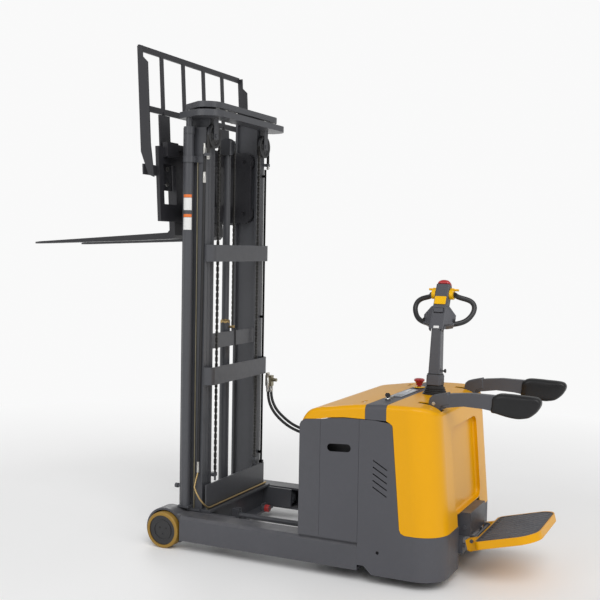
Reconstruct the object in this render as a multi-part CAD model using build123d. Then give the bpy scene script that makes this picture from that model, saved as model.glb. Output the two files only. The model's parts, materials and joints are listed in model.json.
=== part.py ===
"""Stand-on reach stacker: a battery truck with straddle legs, a reaching three-stage mast,
tilting forks, a steering tiller, folding side arms and a folding platform.

Millimetres, +X towards the fork tips, +Y to the truck's left, +Z up.
Every function works in stations measured from the load wheel axle; save() moves the
finished piece so that the origin lies under the middle of the whole truck.
"""
from build123d import *
import os
from math import cos, pi, radians, sin, tan

# ------------------------------------------------------------------ driving dimensions
LOAD_AXLE_X = 477.58         # load wheel axle, ahead of the origin

HALF_WIDTH = 525.0           # half the overall width
BODY_FRONT = -872.0
BODY_REAR = -1675.0          # rear face at the height of the hood's lower edge
CORNER_R = 150.0             # rear corners in plan
SKIN = 5.0                   # thickness of the moulded covers
PLATE = 12.0                 # thickness of the welded frame plates

# straddle legs and load wheels
LEG_INNER = 395.0
LEG_BOTTOM, LEG_TOP = 62.0, 202.0
LEG_REAR = -1217.0
LOAD_WHEEL_R = 105.0
LOAD_WHEEL_W = 84.0
FENDER_R = 124.0

# body panels
SEAM_FRONT, SEAM_REAR = -995.0, -1217.0
PANEL_BOTTOM = 211.0
SKIRT_BOTTOM = 50.0
HOOD_BOTTOM = 283.0
KNEE_WALL = 5.0              # wall round the knee recess
HOOD_LEAN = 0.085            # forward lean of the rear face, run over rise
TOP_EDGE_R = 26.0            # rounding along both sides of the top
DASH_FRONT, DASH_REAR = -1247.0, -1364.0

# steering and tiller
STEER_X = -1458.0
DRIVE_WHEEL_R = 115.0
TILLER_PIVOT_Z = 985.0
TILLER_REST_LEAN = 4.7       # column leans away from the operator at rest
HEAD_LEAN = 21.0             # head leans back from the column
HEAD_SWEEP = 20.0            # loops and lower body sweep back from the middle
THROTTLE_Y, THROTTLE_W = 2.0, 211.0
ROCKER_W = 98.0
LOOP_R = 14.5
PADDLE_INNER, PADDLE_OUTER = 40.5, 63.0
COLUMN_LENGTH = 330.0

# side arms and platform
ARM_Y = 340.0
ARM_PIN_X, ARM_PIN_Z = -1567.0, 912.0
PLATFORM_PIN_X, PLATFORM_PIN_Z = -1742.0, 205.0
PLATFORM_REST = 14.5         # degrees above level
PLATFORM_HALF = 282.0

# mast
UPRIGHT_REAR, UPRIGHT_FRONT = -170.0, -15.0
OUTER_Y = 362.0              # outer face of the outer uprights
STAGE_PITCH = 35.0           # sideways step from one mast stage to the next
FLANGE_W, FLANGE_T, WEB_T = 32.0, 14.0, 10.0
OUTER_TOP, MIDDLE_TOP, INNER_TOP = 2440.0, 2492.0, 2546.0
MAST_BOTTOM = 84.0
SHEAVE_X, SHEAVE_Y, SHEAVE_Z, SHEAVE_R = -191.0, 312.0, 2392.0, 62.0
CYLINDER_X, CYLINDER_Y, CYLINDER_R = -77.0, 397.0, 29.0
FREE_LIFT_X, FREE_WHEEL_Z = -104.0, 2358.0
CHAIN_END_Z = 2010.0         # carriage end of the free-lift chain
CARRIAGE_BOTTOM, CARRIAGE_TOP = 1905.0, 2350.0

# fork frame
TILT_X, TILT_Z = 45.0, 1960.0
TILT_RAM_Z = 2290.0
TILT_REST = 3.0              # degrees tipped forward
FORK_Y = 236.0
FORK_LENGTH, FORK_W, FORK_T = 1045.0, 100.0, 38.0
BACKREST_HALF, BACKREST_TOP = 590.0, 2893.0

TURNTABLE_R = 128.0
CASTOR_X, CASTOR_Y = STEER_X + 60, 285.0
REACH_Y, REACH_Z = 165.0, 150.0
REACH_ROD_R, REACH_BARREL_R = 16.0, 30.0

RUN_GAP = 0.05               # radial clearance of running pins
GAP = 1.0                    # clearance between separate covers


# ------------------------------------------------------------------ helpers
def box(x0, x1, y0, y1, z0, z1):
    """Block between two corners."""
    return Pos((x0 + x1) / 2, (y0 + y1) / 2, (z0 + z1) / 2) * Box(abs(x1 - x0), abs(y1 - y0), abs(z1 - z0))


def rod_x(x0, x1, y, z, r):
    """Round bar along X."""
    return Pos((x0 + x1) / 2, y, z) * Rot(0, 90, 0) * Cylinder(r, abs(x1 - x0))


def rod_y(x, y0, y1, z, r):
    """Round bar along Y."""
    return Pos(x, (y0 + y1) / 2, z) * Rot(90, 0, 0) * Cylinder(r, abs(y1 - y0))


def rod_z(x, y, z0, z1, r):
    """Round bar along Z."""
    return Pos(x, y, (z0 + z1) / 2) * Cylinder(r, abs(z1 - z0))


def prism_xz(points, y0, y1):
    """Side-view outline, filled between two Y planes."""
    face = make_face(Polyline([(x, y0, z) for x, z in points], close=True))
    return extrude(face, amount=y1 - y0, dir=(0, 1, 0))


def prism_xy(points, z0, z1):
    """Plan outline, filled between two heights."""
    face = make_face(Polyline([(x, y, z0) for x, y in points], close=True))
    return extrude(face, amount=z1 - z0, dir=(0, 0, 1))


def prism_yz(points, x0, x1):
    """Front-view outline, filled between two X planes."""
    face = make_face(Polyline([(x0, y, z) for y, z in points], close=True))
    return extrude(face, amount=x1 - x0, dir=(1, 0, 0))


def mirrored(shape):
    """The same piece on the other side of the truck."""
    return mirror(shape, about=Plane.XZ)


def group(*shapes):
    """Separate solids kept together in one node."""
    solids = []
    for shape in shapes:
        solids.extend(shape.solids())
    return Compound(solids)


def save(name, shape):
    """Writes one node, moved from load-axle stations to the truck's own origin."""
    export_step(Pos(LOAD_AXLE_X, 0, 0) * shape, f"parts/{name}.step")


def slot_xz(x, z, length, height, y0, y1, angle=0.0):
    """Round-ended slot cut through a side panel."""
    profile = Plane.XZ * Rot(0, 0, angle) * SlotOverall(length, height)
    bar = extrude(profile, amount=abs(y1 - y0) / 2, both=True)
    return Pos(x, (y0 + y1) / 2, z) * bar


def slot_xy(x, y, length, width, z0, z1):
    """Round-ended slot along Y, cut through a top panel."""
    bar = extrude(Rot(0, 0, 90) * SlotOverall(length, width), amount=z1 - z0)
    return Pos(x, y, z0) * bar


# ------------------------------------------------------------------ straddle legs
def straddle_leg():
    """Left leg: channel open towards the middle, wheel fender and axle pin."""
    outline = [(HALF_WIDTH, LEG_BOTTOM), (HALF_WIDTH, LEG_TOP - 15), (HALF_WIDTH - 15, LEG_TOP),
               (LEG_INNER, LEG_TOP), (LEG_INNER, LEG_TOP - PLATE),
               (HALF_WIDTH - 22, LEG_TOP - PLATE), (HALF_WIDTH - PLATE, LEG_TOP - 23),
               (HALF_WIDTH - PLATE, LEG_BOTTOM + PLATE), (LEG_INNER, LEG_BOTTOM + PLATE),
               (LEG_INNER, LEG_BOTTOM)]
    channel = prism_yz(outline, LEG_REAR, -FENDER_R + 6)
    inner_y = HALF_WIDTH - LOAD_WHEEL_W - 10
    drum = rod_y(0, LEG_INNER, HALF_WIDTH - 30, LOAD_WHEEL_R + 1, FENDER_R)
    drum -= box(-FENDER_R, FENDER_R, LEG_INNER, HALF_WIDTH, -60, LEG_BOTTOM - 22)
    skirt = box(-FENDER_R - 6, -60, LEG_INNER, HALF_WIDTH - 30, LEG_BOTTOM, LEG_TOP)
    well = rod_y(0, inner_y, HALF_WIDTH + 5, LOAD_WHEEL_R, LOAD_WHEEL_R + 8)
    hub_plate = box(-50, FENDER_R - 26, LEG_INNER, inner_y, LEG_BOTTOM - 18, 140)
    fender = (drum + skirt - well) + hub_plate
    axle = rod_y(0, LEG_INNER + 6, HALF_WIDTH - 24, LOAD_WHEEL_R, 17.5)
    return channel + fender + axle


def load_hub():
    """Left load wheel hub with a recessed face and three cap screws."""
    y0, y1 = HALF_WIDTH - LOAD_WHEEL_W, HALF_WIDTH
    hub = rod_y(0, y0, y1 - 6, LOAD_WHEEL_R, 86)
    hub += rod_y(0, y1 - 6, y1 - 2, LOAD_WHEEL_R, 60) - rod_y(0, y1 - 6, y1, LOAD_WHEEL_R, 52)
    hub -= rod_y(0, y0 - 1, HALF_WIDTH - 22, LOAD_WHEEL_R, 17.5 + RUN_GAP)
    for k in range(3):
        a = radians(120 * k + 30)
        hub += rod_y(24 * cos(a), y1 - 7, y1 - 2, LOAD_WHEEL_R + 24 * sin(a), 5)
    return hub


def load_tyre():
    """Left polyurethane tyre with rounded shoulders."""
    tyre = rod_y(0, HALF_WIDTH - LOAD_WHEEL_W, HALF_WIDTH, LOAD_WHEEL_R, LOAD_WHEEL_R)
    tyre = fillet(tyre.edges().filter_by(GeomType.CIRCLE), 8)
    return tyre - rod_y(0, HALF_WIDTH - LOAD_WHEEL_W - 1, HALF_WIDTH + 1, LOAD_WHEEL_R, 86)


# ------------------------------------------------------------------ chassis and body
def chassis_frame():
    """Welded frame: bulkhead, battery floor, mid wall, drive deck, pillars and bearing ring."""
    wall_y = HALF_WIDTH - SKIN - 6
    top = 785.0
    bulkhead = box(BODY_FRONT - PLATE, BODY_FRONT, -wall_y, wall_y, LEG_TOP, top)
    floor = box(LEG_REAR, BODY_FRONT - PLATE, -wall_y, wall_y, LEG_TOP, LEG_TOP + 8)
    mid_wall = box(LEG_REAR - PLATE, LEG_REAR, -wall_y, wall_y, LEG_TOP, top)
    rails = box(LEG_REAR, BODY_FRONT - PLATE, wall_y - 10, wall_y, top - 40, top)
    deck = box(BODY_REAR + 40, LEG_REAR - PLATE, -412, 412, 300, 312)
    ring = rod_z(STEER_X, 0, 300, 330, 150)
    tail = box(BODY_REAR + 28, BODY_REAR + 40, -412, 412, 92, 312)
    low_tie = box(BODY_FRONT - PLATE, BODY_FRONT, -352, 352, 92, LEG_TOP)
    frame = bulkhead + floor + mid_wall + rails + mirrored(rails) + deck + tail + low_tie + ring
    frame -= rod_z(STEER_X, 0, 290, 340, TURNTABLE_R + RUN_GAP)
    frame -= rod_x(BODY_FRONT - 20, BODY_FRONT + 10, REACH_Y, REACH_Z, REACH_BARREL_R)
    sill = box(BODY_REAR + 40, LEG_REAR - PLATE, 400, 412, 92, 300)
    pillar = box(SEAM_FRONT + GAP, BODY_FRONT, HALF_WIDTH - SKIN, HALF_WIDTH, PANEL_BOTTOM, 848)
    pillar -= prism_xz([(-870, 803), (-880, 824), (-902, 838.5), (-996, 847), (-996, 850), (-860, 850)], 500, 560)
    pillar += box(BODY_FRONT - SKIN, BODY_FRONT, wall_y, HALF_WIDTH - SKIN, PANEL_BOTTOM, 798)
    bumper_seat = box(BODY_FRONT, BODY_FRONT + 6, 210, 270, 92, 150)
    castor_seat = box(CASTOR_X - 50, CASTOR_X + 50, CASTOR_Y - 50, CASTOR_Y + 50, 215, 300)
    castor_seat -= rod_z(CASTOR_X, CASTOR_Y, 210, 299, 16 + RUN_GAP)
    for piece in (sill, pillar, bumper_seat, castor_seat):
        frame += [piece, mirrored(piece)]
    return frame + box(BODY_FRONT, BODY_FRONT + 10, -204, -142, 568, 644)


def plan_outline(inset, shear_dir, z0, z1):
    """Body plan with round rear corners, raised from z0 to z1 along shear_dir."""
    side, rear, r = HALF_WIDTH - inset, BODY_REAR + inset, CORNER_R - inset
    front = BODY_FRONT + 5
    path = Polyline((rear + r, side, z0), (front, side, z0), (front, -side, z0), (rear + r, -side, z0))
    path += RadiusArc((rear + r, -side, z0), (rear, -side + r, z0), r)
    path += Line((rear, -side + r, z0), (rear, side - r, z0))
    path += RadiusArc((rear, side - r, z0), (rear + r, side, z0), r)
    rise = z1 - z0
    length = (1 + shear_dir ** 2) ** 0.5 * rise
    return extrude(make_face(path), amount=length, dir=(shear_dir, 0, 1))


def crown(drop):
    """Side view of everything below the top covers' outer surface, lowered by drop."""
    top = Spline((-878 - drop, 0, 700), (-884 - drop, 0, 838 - drop), (-920, 0, 884 - drop),
                 (-1010, 0, 911 - drop), (-1180, 0, 936 - drop), (-1364, 0, 950 - drop),
                 (-1480, 0, 951 - drop), (-1570, 0, 938 - drop), (-1618 + drop, 0, 905 - drop),
                 (-1641 + drop, 0, 840 - drop), (-1646 + drop, 0, 790))
    base = Polyline((-1646 + drop, 0, 790), (BODY_REAR - 20, 0, 790), (BODY_REAR - 20, 0, 40),
                    (-860, 0, 40), (-860, 0, 700), (-878 - drop, 0, 700))
    return extrude(make_face(top + base), amount=HALF_WIDTH + 20, both=True, dir=(0, 1, 0))


def cover_block(inset):
    """Solid block under the top covers, its long upper edges rounded."""
    block = plan_outline(inset, HOOD_LEAN, HOOD_BOTTOM - inset, 1000) & crown(inset)
    edges = block.edges().filter_by(lambda e: e.center().Z > 820 and e.length > 200)
    edges = edges.filter_by(lambda e: abs(e.center().Y) > 300)
    return fillet(edges, TOP_EDGE_R - inset)


def cover_skin():
    """Hollow skin of all the top covers, before it is cut into separate pieces."""
    return cover_block(0) - cover_block(SKIN) - box(-1720, -800, -560, 560, 270, HOOD_BOTTOM)


def side_boundary(offset):
    """Line between the grey side shell and the yellow hood, as side-view points."""
    line = [(-1384, 857), (-1397, 847), (-1400, 835), (-1447, 310), (-1455, 292), (-1476, HOOD_BOTTOM - GAP)]
    return [(x - offset, z + 0.6 * offset) for x, z in line]


def knee_pocket(grow):
    """Round-cornered space for the knees in the rear face, with the face's lean, grown all round."""
    bottom, top, half = 350 - grow, 812 + grow, 250 + grow
    floor_x = BODY_REAR + 27 + grow
    outline = [(-1760, bottom), (-1760, top), (floor_x + HOOD_LEAN * (top - HOOD_BOTTOM), top),
               (floor_x + HOOD_LEAN * (bottom - HOOD_BOTTOM), bottom)]
    pocket = prism_xz(outline, -half, half)
    pocket = fillet(pocket.edges().filter_by(Axis.X), 52 + grow)
    inner_rim = pocket.faces().sort_by(Axis.X)[-1].edges()
    return fillet(inner_rim, 12 + grow)


def rear_hood(skin):
    """Yellow hood: top, sides and leaning rear face with a knee recess."""
    region = [(DASH_REAR - GAP, 1000), (DASH_REAR - GAP, 868)]
    region += side_boundary(1.5 * GAP) + [(-1720, HOOD_BOTTOM), (-1720, 1000)]
    hood = skin & prism_xz(region, -560, 560)
    hood -= prism_xz([(-1720, 200), (-1600, 200), (-1600, 348), (-1720, 348)], -226, 226)
    hood -= rod_z(STEER_X, 0, 900, 1000, 66)
    hood -= knee_pocket(KNEE_WALL)
    face_x = [BODY_REAR + HOOD_LEAN * (z - HOOD_BOTTOM) for z in (240, 840)]
    rear_side = prism_xz([(face_x[0], 240), (face_x[1], 840), (-1500, 840), (-1500, 240)], -280, 280)
    hood += (knee_pocket(KNEE_WALL) - knee_pocket(0)) & rear_side
    for side in (-1, 1):
        hood -= box(ARM_PIN_X - 42, ARM_PIN_X + 90, side * ARM_Y - 24, side * ARM_Y + 24, 820, 1000)
    return hood


def dash_strip(skin):
    """Grey strip across the top, with the key barrel and the stop button's collar."""
    region = [(DASH_FRONT - GAP, 1000), (DASH_FRONT - GAP, 868), (DASH_REAR, 868), (DASH_REAR, 1000)]
    strip = skin & prism_xz(region, -560, 560)
    strip -= rod_z(-1300, -200, 900, 1000, 12)
    strip -= rod_z(-1300, 330, 900, 1000, 10)
    collar = rod_z(-1300, -200, 944, 952, 26) - rod_z(-1300, -200, 940, 960, 12)
    barrel = rod_z(-1300, 330, 925, 954, 14) - rod_z(-1300, 330, 920, 960, 5)
    panel = box(-1338, -1268, -100, 210, 947, 952)
    return group(strip - panel, collar, barrel, panel)


def battery_lid(skin):
    """Yellow lid over the battery, with two grip slots at its rear edge."""
    region = [(DASH_FRONT, 1000), (DASH_FRONT, 868), (-1130, 868), (-1050, 860), (-996, 848.5),
              (-902, 840), (-882, 826), (-872, 804), (-860, 800), (-860, 1000)]
    lid = skin & prism_xz(region, -560, 560)
    for side in (-1, 1):
        lid -= slot_xy(-1186, side * 375, 70, 22, 880, 1000)
    return lid


def battery_door():
    """Left battery door: flat panel with a round-ended hand slot."""
    top = [(SEAM_FRONT, PANEL_BOTTOM), (SEAM_FRONT, 846), (-1050, 856), (-1130, 864),
           (SEAM_REAR + GAP, 865), (SEAM_REAR + GAP, PANEL_BOTTOM)]
    door = prism_xz(top, HALF_WIDTH - SKIN, HALF_WIDTH)
    door -= slot_xz(-1103, 702, 136, 42, HALF_WIDTH - 20, HALF_WIDTH + 20, -3)
    rim = box(-1200, -1190, HALF_WIDTH - 10, HALF_WIDTH - SKIN, 240, 830)
    rim += box(-1015, -1005, HALF_WIDTH - 10, HALF_WIDTH - SKIN, 240, 830)
    return door + rim


def rear_shell():
    """Left grey shell: louvred side panel running down into the rear skirt."""
    ring = plan_outline(0, 0, SKIRT_BOTTOM, 900) - plan_outline(SKIN, 0, SKIRT_BOTTOM - 5, 905)
    outline = [(SEAM_REAR, 92), (SEAM_REAR, 865), (-1300, 866)] + side_boundary(0)
    outline += [(-1720, HOOD_BOTTOM - GAP), (-1720, SKIRT_BOTTOM), (-1300, SKIRT_BOTTOM), (-1255, 92)]
    shell = ring & prism_xz(outline, 205, 560)
    for k in range(5):
        shell -= slot_xz(-1337, 634 - 35 * k, 92, 6, HALF_WIDTH - 20, HALF_WIDTH + 20, 30)
    shell -= rod_y(-1331, HALF_WIDTH - 20, HALF_WIDTH + 20, 172, 9)
    return shell


def battery_pack():
    """Traction battery: steel tray, lid and two terminal posts."""
    tray = box(-1200, -900, -440, 440, 214, 740)
    lid = box(-1195, -905, -435, 435, 740, 752)
    posts = [rod_z(-1050, y, 752, 772, 14) for y in (-380, 380)]
    handles = [box(-1130, -970, y - 8, y + 8, 752, 790) - box(-1112, -988, y - 9, y + 9, 750, 776)
               for y in (-300, 300)]
    return group(tray, lid, *posts, *handles)


def drive_bay_units():
    """Behind the battery wall: oil tank with its pump block, pump motor and finned controller."""
    tank = box(-1420, -1250, 180, 380, 330, 640) + box(-1400, -1260, 200, 360, 312, 330)
    block = box(-1390, -1270, -320, -200, 312, 420)
    pipe = rod_y(-1330, -200, 180, 370, 9)
    motor = rod_z(-1330, -260, 420, 640, 62)
    base = box(-1239, LEG_REAR - PLATE, -150, 150, 430, 760)
    controller = base + box(-1290, -1239, -130, 130, 450, 740)
    for step in range(9):
        y = -120 + 30 * step
        controller += box(-1310, -1290, y - 3, y + 3, 460, 730)
    return group(tank + pipe + block, motor, controller)


# ------------------------------------------------------------------ steering, drive and castors
def drive_unit():
    """Turntable, gearbox leg and upright drive motor; the wheel axis lies along X at rest."""
    table = rod_z(STEER_X, 0, 302, 330, TURNTABLE_R)
    leg = box(STEER_X - 78, STEER_X - 46, -50, 50, 90, 304)
    boss = rod_x(STEER_X - 78, STEER_X - 46, 0, DRIVE_WHEEL_R, 58)
    axle = rod_x(STEER_X - 46, STEER_X + 34, 0, DRIVE_WHEEL_R, 22)
    motor = rod_z(STEER_X, 0, 330, 545, 82)
    cap = rod_z(STEER_X, 0, 545, 580, 62)
    return table + leg + boss + axle + motor + cap


def drive_wheel():
    """Drive wheel: solid tyre on a hub, bored for the gearbox axle."""
    wheel = rod_x(STEER_X - 40, STEER_X + 40, 0, DRIVE_WHEEL_R, DRIVE_WHEEL_R)
    wheel = fillet(wheel.edges().filter_by(GeomType.CIRCLE), 8)
    return wheel - rod_x(STEER_X - 41, STEER_X + 36, 0, DRIVE_WHEEL_R, 22 + RUN_GAP)


def steer_turret():
    """Steering shaft and the clevis that carries the tiller, with its pivot pin."""
    shaft = rod_z(STEER_X, 0, 580, 905, 24) + rod_z(STEER_X, 0, 890, 925, 34)
    clevis = box(STEER_X - 36, STEER_X + 36, -34, 22, 925, TILLER_PIVOT_Z)
    clevis += rod_x(STEER_X - 36, STEER_X + 36, 0, TILLER_PIVOT_Z, 29)
    clevis -= box(STEER_X - 24, STEER_X + 24, -60, 60, 950, 1030)
    pin = rod_x(STEER_X - 38, STEER_X + 38, 0, TILLER_PIVOT_Z, 9)
    return shaft + clevis + pin


def tiller_boot():
    """Rubber bellows where the steering shaft leaves the hood."""
    boot = rod_z(STEER_X, 0, 902, 948, 50)
    for k in range(5):
        boot += rod_z(STEER_X, 0, 906 + 9 * k, 911 + 9 * k, 62 - 3 * k)
    boot -= rod_z(STEER_X, 0, 900, 926, 34)
    return boot - box(STEER_X - 36, STEER_X + 36, -34, 22, 925, 960)


def castor_fork():
    """Left swivel castor fork: top plate, stem and two cheeks."""
    x, y = CASTOR_X, CASTOR_Y
    top = rod_z(x, y, 168, 178, 44) + rod_z(x, y, 178, 296, 16)
    cheek = prism_xz([(x - 30, 168), (x + 30, 168), (x - 18, 52), (x - 52, 52)], y + 29, y + 35)
    other = prism_xz([(x - 30, 168), (x + 30, 168), (x - 18, 52), (x - 52, 52)], y - 35, y - 29)
    axle = rod_y(x - 35, y - 35, y + 35, 70, 8)
    return top + cheek + other + axle


def castor_wheel():
    """Left castor wheel."""
    x, y = CASTOR_X - 35, CASTOR_Y
    wheel = rod_y(x, y - 25, y + 25, 70, 70)
    wheel = fillet(wheel.edges().filter_by(GeomType.CIRCLE), 7)
    return wheel - rod_y(x, y - 26, y + 26, 70, 8 + RUN_GAP)


def on_tiller(shape, along=0.0, lean=0.0):
    """Places a piece built upright over the pivot on the leaning tiller."""
    local = Pos(0, 0, along) * Rot(lean, 0, 0) * shape
    return Pos(STEER_X, 0, TILLER_PIVOT_Z) * Rot(TILLER_REST_LEAN, 0, 0) * local


def tiller_column():
    """Tapered column with a narrow tongue at the foot, bored for the pin."""
    lower = Plane.XY.offset(34) * Rectangle(66, 84)
    upper = Plane.XY.offset(COLUMN_LENGTH) * Rectangle(54, 70)
    body = loft([lower, upper])
    body = fillet(body.edges().filter_by(lambda e: e.length > 200), 9)
    tongue = box(-22, 22, -18, 18, -16, 40)
    column = body + tongue
    column -= rod_x(-40, 40, 0, 0, 9 + RUN_GAP)
    return on_tiller(column)


def on_head(shape):
    """Places a piece built upright over the neck on the leaning head."""
    return on_tiller(shape, COLUMN_LENGTH, HEAD_LEAN)


def head_wing(side):
    """Half of the head's broad lower body, swept back from the middle."""
    outline = [(-12, -26), (39, -26), (40, 12), (84, 28), (88, 84), (46, 130), (-12, 130)]
    wing = prism_xz([(side * u, w) for u, w in outline], -26, 32)
    return Rot(0, 0, -side * HEAD_SWEEP) * wing


def tiller_head():
    """Moulded head: swept lower body for the electronics, straight upper body, cover plate."""
    stem = box(-39, 39, -30, 36, -26, 261)
    stem = fillet(stem.edges().filter_by(Axis.Z), 7)
    head = stem + head_wing(1) + head_wing(-1)
    head -= rod_z(0, 3, 238, 270, 8 + RUN_GAP)
    head -= box(-28, 28, 30, 40, ROCKER_W - 16, ROCKER_W + 16) + rod_x(-32, 32, 36, ROCKER_W, 2 + RUN_GAP)
    head = on_head(head) - on_tiller(box(-120, 120, -120, 120, 150, COLUMN_LENGTH + 0.2))
    plate = on_head(box(-34, 34, 36, 39, 134, 184))
    return group(head, plate)


LOOP_ROUTE = [(98, 208), (139, 202), (169, 189), (183, 166), (183, 138), (171, 106), (148, 76), (121, 58), (64, 38)]


def handle_loops():
    """Two closed loop handles, swept back from the head's sides."""
    turn = radians(HEAD_SWEEP)
    blank = box(-39, 39, -30, 36, -26, 261) + head_wing(1) + head_wing(-1)
    loops = []
    for side in (-1, 1):
        points = [(side * (PADDLE_OUTER + 4), THROTTLE_Y, THROTTLE_W)]
        points += [(side * u * cos(turn), THROTTLE_Y - 4 - u * sin(turn) * 0.9, w) for u, w in LOOP_ROUTE]
        path = Spline(points)
        tube = sweep(Plane(path @ 0, z_dir=path % 0) * Circle(LOOP_R), path)
        axle = rod_x(side * 35, side * (PADDLE_OUTER + 5), THROTTLE_Y, THROTTLE_W, LOOP_R)
        loops.append((tube - blank - box(side * 30, side * (PADDLE_OUTER + 1), -30, 20, 180, 250)) + (axle - blank))
    return on_head(group(*loops))


def throttle_paddles():
    """Two butterfly paddles on the loops' upper roots, either side of the head."""
    y, w = THROTTLE_Y, THROTTLE_W
    paddles = []
    for side in (-1, 1):
        disc = rod_x(side * PADDLE_INNER, side * (PADDLE_OUTER - 1), y, w, 29)
        wing = box(side * PADDLE_INNER, side * (PADDLE_OUTER - 1), y - 10, y + 12, w, w + 34)
        spur = box(side * (PADDLE_OUTER - 8), side * (PADDLE_OUTER + 24), y - 4, y + 8, w + 23, w + 32)
        paddles.append(disc + wing + spur - rod_x(side * 30, side * 70, y, w, LOOP_R + RUN_GAP))
    return on_head(group(*paddles))


def belly_button():
    """Red safety button capping the head."""
    cap = box(-36, 36, -29, 35, 266, 288)
    cap = fillet(cap.edges().filter_by(Axis.Y).sort_by(Axis.Z)[-2:], 13)
    return on_head(cap + rod_z(0, 3, 243, 266, 8))


def lift_rocker():
    """Rocker that raises and lowers the forks, on the head's broad lower body."""
    rocker = box(-26, 26, 33.5, 43, ROCKER_W - 12, ROCKER_W + 12)
    rocker = fillet(rocker.edges().filter_by(Axis.Y), 4)
    return on_head(rocker + rod_x(-31, 31, 36, ROCKER_W, 2))


def estop_button():
    """Red mushroom button of the emergency stop."""
    x, y = -1300, -200
    stem = rod_z(x, y, 930, 978, 10)
    head = Pos(x, y, 985) * Cone(20, 30, 18)
    cap = rod_z(x, y, 994, 1002, 30)
    return stem + head + cap


def ignition_key():
    """Key with a flat bow standing in its barrel."""
    blade = rod_z(-1300, 330, 930, 956, 4.9)
    bow = box(-1312, -1288, 328, 332, 956, 984)
    return blade + bow


# ------------------------------------------------------------------ side arms and platform
def arm_brackets():
    """Two clevis posts that carry the side arms, bolted to the drive deck."""
    posts = []
    for side in (-1, 1):
        y = side * ARM_Y
        post = box(ARM_PIN_X - 34, ARM_PIN_X + 34, y - 20, y - 14, 312, ARM_PIN_Z + 24)
        post += box(ARM_PIN_X - 34, ARM_PIN_X + 34, y + 14, y + 20, 312, ARM_PIN_Z + 24)
        post += box(ARM_PIN_X - 34, ARM_PIN_X + 34, y - 20, y + 20, 312, 820)
        post += rod_y(ARM_PIN_X, y - 23, y + 23, ARM_PIN_Z, 9)
        posts.append(post)
    return group(*posts)


def side_arm():
    """Left arm: upright root on the pin and a long bar, arched underneath."""
    x, z = ARM_PIN_X, ARM_PIN_Z
    outline = [(x + 28, z - 30), (x + 26, z + 52), (x + 8, z + 78), (x - 90, z + 100),
               (x - 190, z + 110), (x - 330, z + 108), (x - 330, z + 26), (x - 260, z + 36),
               (x - 160, z + 40), (x - 70, z + 26), (x - 30, z + 4), (x - 30, z - 22)]
    arm = prism_xz(outline, ARM_Y - 13.5, ARM_Y + 13.5)
    wide = prism_xz(outline[1:10], ARM_Y - 21, ARM_Y + 21)
    return (arm + wide) - rod_y(x, ARM_Y - 30, ARM_Y + 30, z, 9 + RUN_GAP)


def arm_pad():
    """Left arm's soft end: a deep rounded block over the end of the bar."""
    x, z = ARM_PIN_X, ARM_PIN_Z
    outline = [(x - 300, z + 22), (x - 306, z + 104), (x - 340, z + 122), (x - 450, z + 120),
               (x - 530, z + 116), (x - 553, z + 102), (x - 554, z + 78), (x - 530, z + 40),
               (x - 490, z + 8), (x - 440, z - 4), (x - 390, z + 2), (x - 340, z + 10)]
    pad = prism_xz(outline, ARM_Y - 33, ARM_Y + 33)
    return pad - prism_xz([(x - 290, z + 26), (x - 290, z + 115), (x - 330.2, z + 115),
                           (x - 330.2, z + 26)], ARM_Y - 21.2, ARM_Y + 21.2)


def platform_bracket():
    """Step box on the rear of the frame, hinge lugs, hinge pin and rubber stops."""
    x, z = PLATFORM_PIN_X, PLATFORM_PIN_Z
    rear = BODY_REAR + 28
    bracket = box(x + 20, rear, -150, 150, 216, 344) + box(x + 46, rear, -196, 196, 132, 216)
    for side in (-1, 1):
        bracket += box(x, x + 22, side * 138, side * 150, z - 16, z + 18)
        bracket += rod_y(x, side * 138, side * 150, z, 18)
    bracket += rod_y(x, -194, 194, z, 10)
    stops = [rod_x(x + 38, x + 46, y, z - 34, 13) for y in (-176, 176)]
    buttons = [rod_y(x + 50, side * 150, side * 158, 262, 11) for side in (-1, 1)]
    return group(bracket, *stops, *buttons)


def on_platform(shape):
    """Turns a piece built level about the hinge up to the resting angle."""
    return Pos(PLATFORM_PIN_X, 0, PLATFORM_PIN_Z) * Rot(0, PLATFORM_REST, 0) * shape


TREAD_FRONT, TREAD_REAR = -33.0, -378.0      # platform's ends behind the hinge
TREAD_LOW, TREAD_TOP = -28.0, 14.0           # rim height range about the hinge


def platform_plan(inset, z0, z1):
    """Plan of the platform with round corners, in hinge coordinates."""
    rect = Pos((TREAD_FRONT + TREAD_REAR) / 2, 0, z0) * Rectangle(
        TREAD_FRONT - TREAD_REAR - 2 * inset, 2 * (PLATFORM_HALF - inset))
    rect = fillet(rect.vertices().sort_by(Axis.X)[:2], 112 - inset)
    rect = fillet(rect.vertices().sort_by(Axis.X)[-2:], 36 - inset)
    return extrude(rect, amount=z1 - z0)


def platform_frame():
    """Pressed tray with a raised rim and two hinge arms."""
    frame = platform_plan(0, TREAD_LOW, TREAD_TOP)
    frame -= platform_plan(7, TREAD_TOP - 8, TREAD_TOP + 5)
    frame -= platform_plan(7, TREAD_LOW - 5, TREAD_TOP - 18)
    outline = [(34, -46), (34, 8), (20, TREAD_TOP), (TREAD_FRONT, TREAD_TOP), (TREAD_FRONT - 6, TREAD_TOP - 12),
               (-150, TREAD_TOP - 12), (-150, TREAD_TOP - 24), (-60, -50), (20, -54)]
    for y in (-176, 176):
        frame += prism_xz(outline, y - 14, y + 14)
    frame -= rod_y(0, -300, 300, 0, 10 + RUN_GAP)
    return on_platform(frame)


def platform_mat():
    """Rubber mat with raised slanted ribs."""
    mat = platform_plan(7.4, TREAD_TOP - 8, TREAD_TOP - 2)
    ribs = platform_plan(16, TREAD_TOP - 2, TREAD_TOP + 1.5)
    cutters = Part()
    for k in range(15):
        cutters += Pos(-205, -380 + 54 * k, TREAD_TOP) * Rot(0, 0, 28) * Box(460, 20, 6)
    return on_platform(mat + (ribs - cutters))


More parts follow.
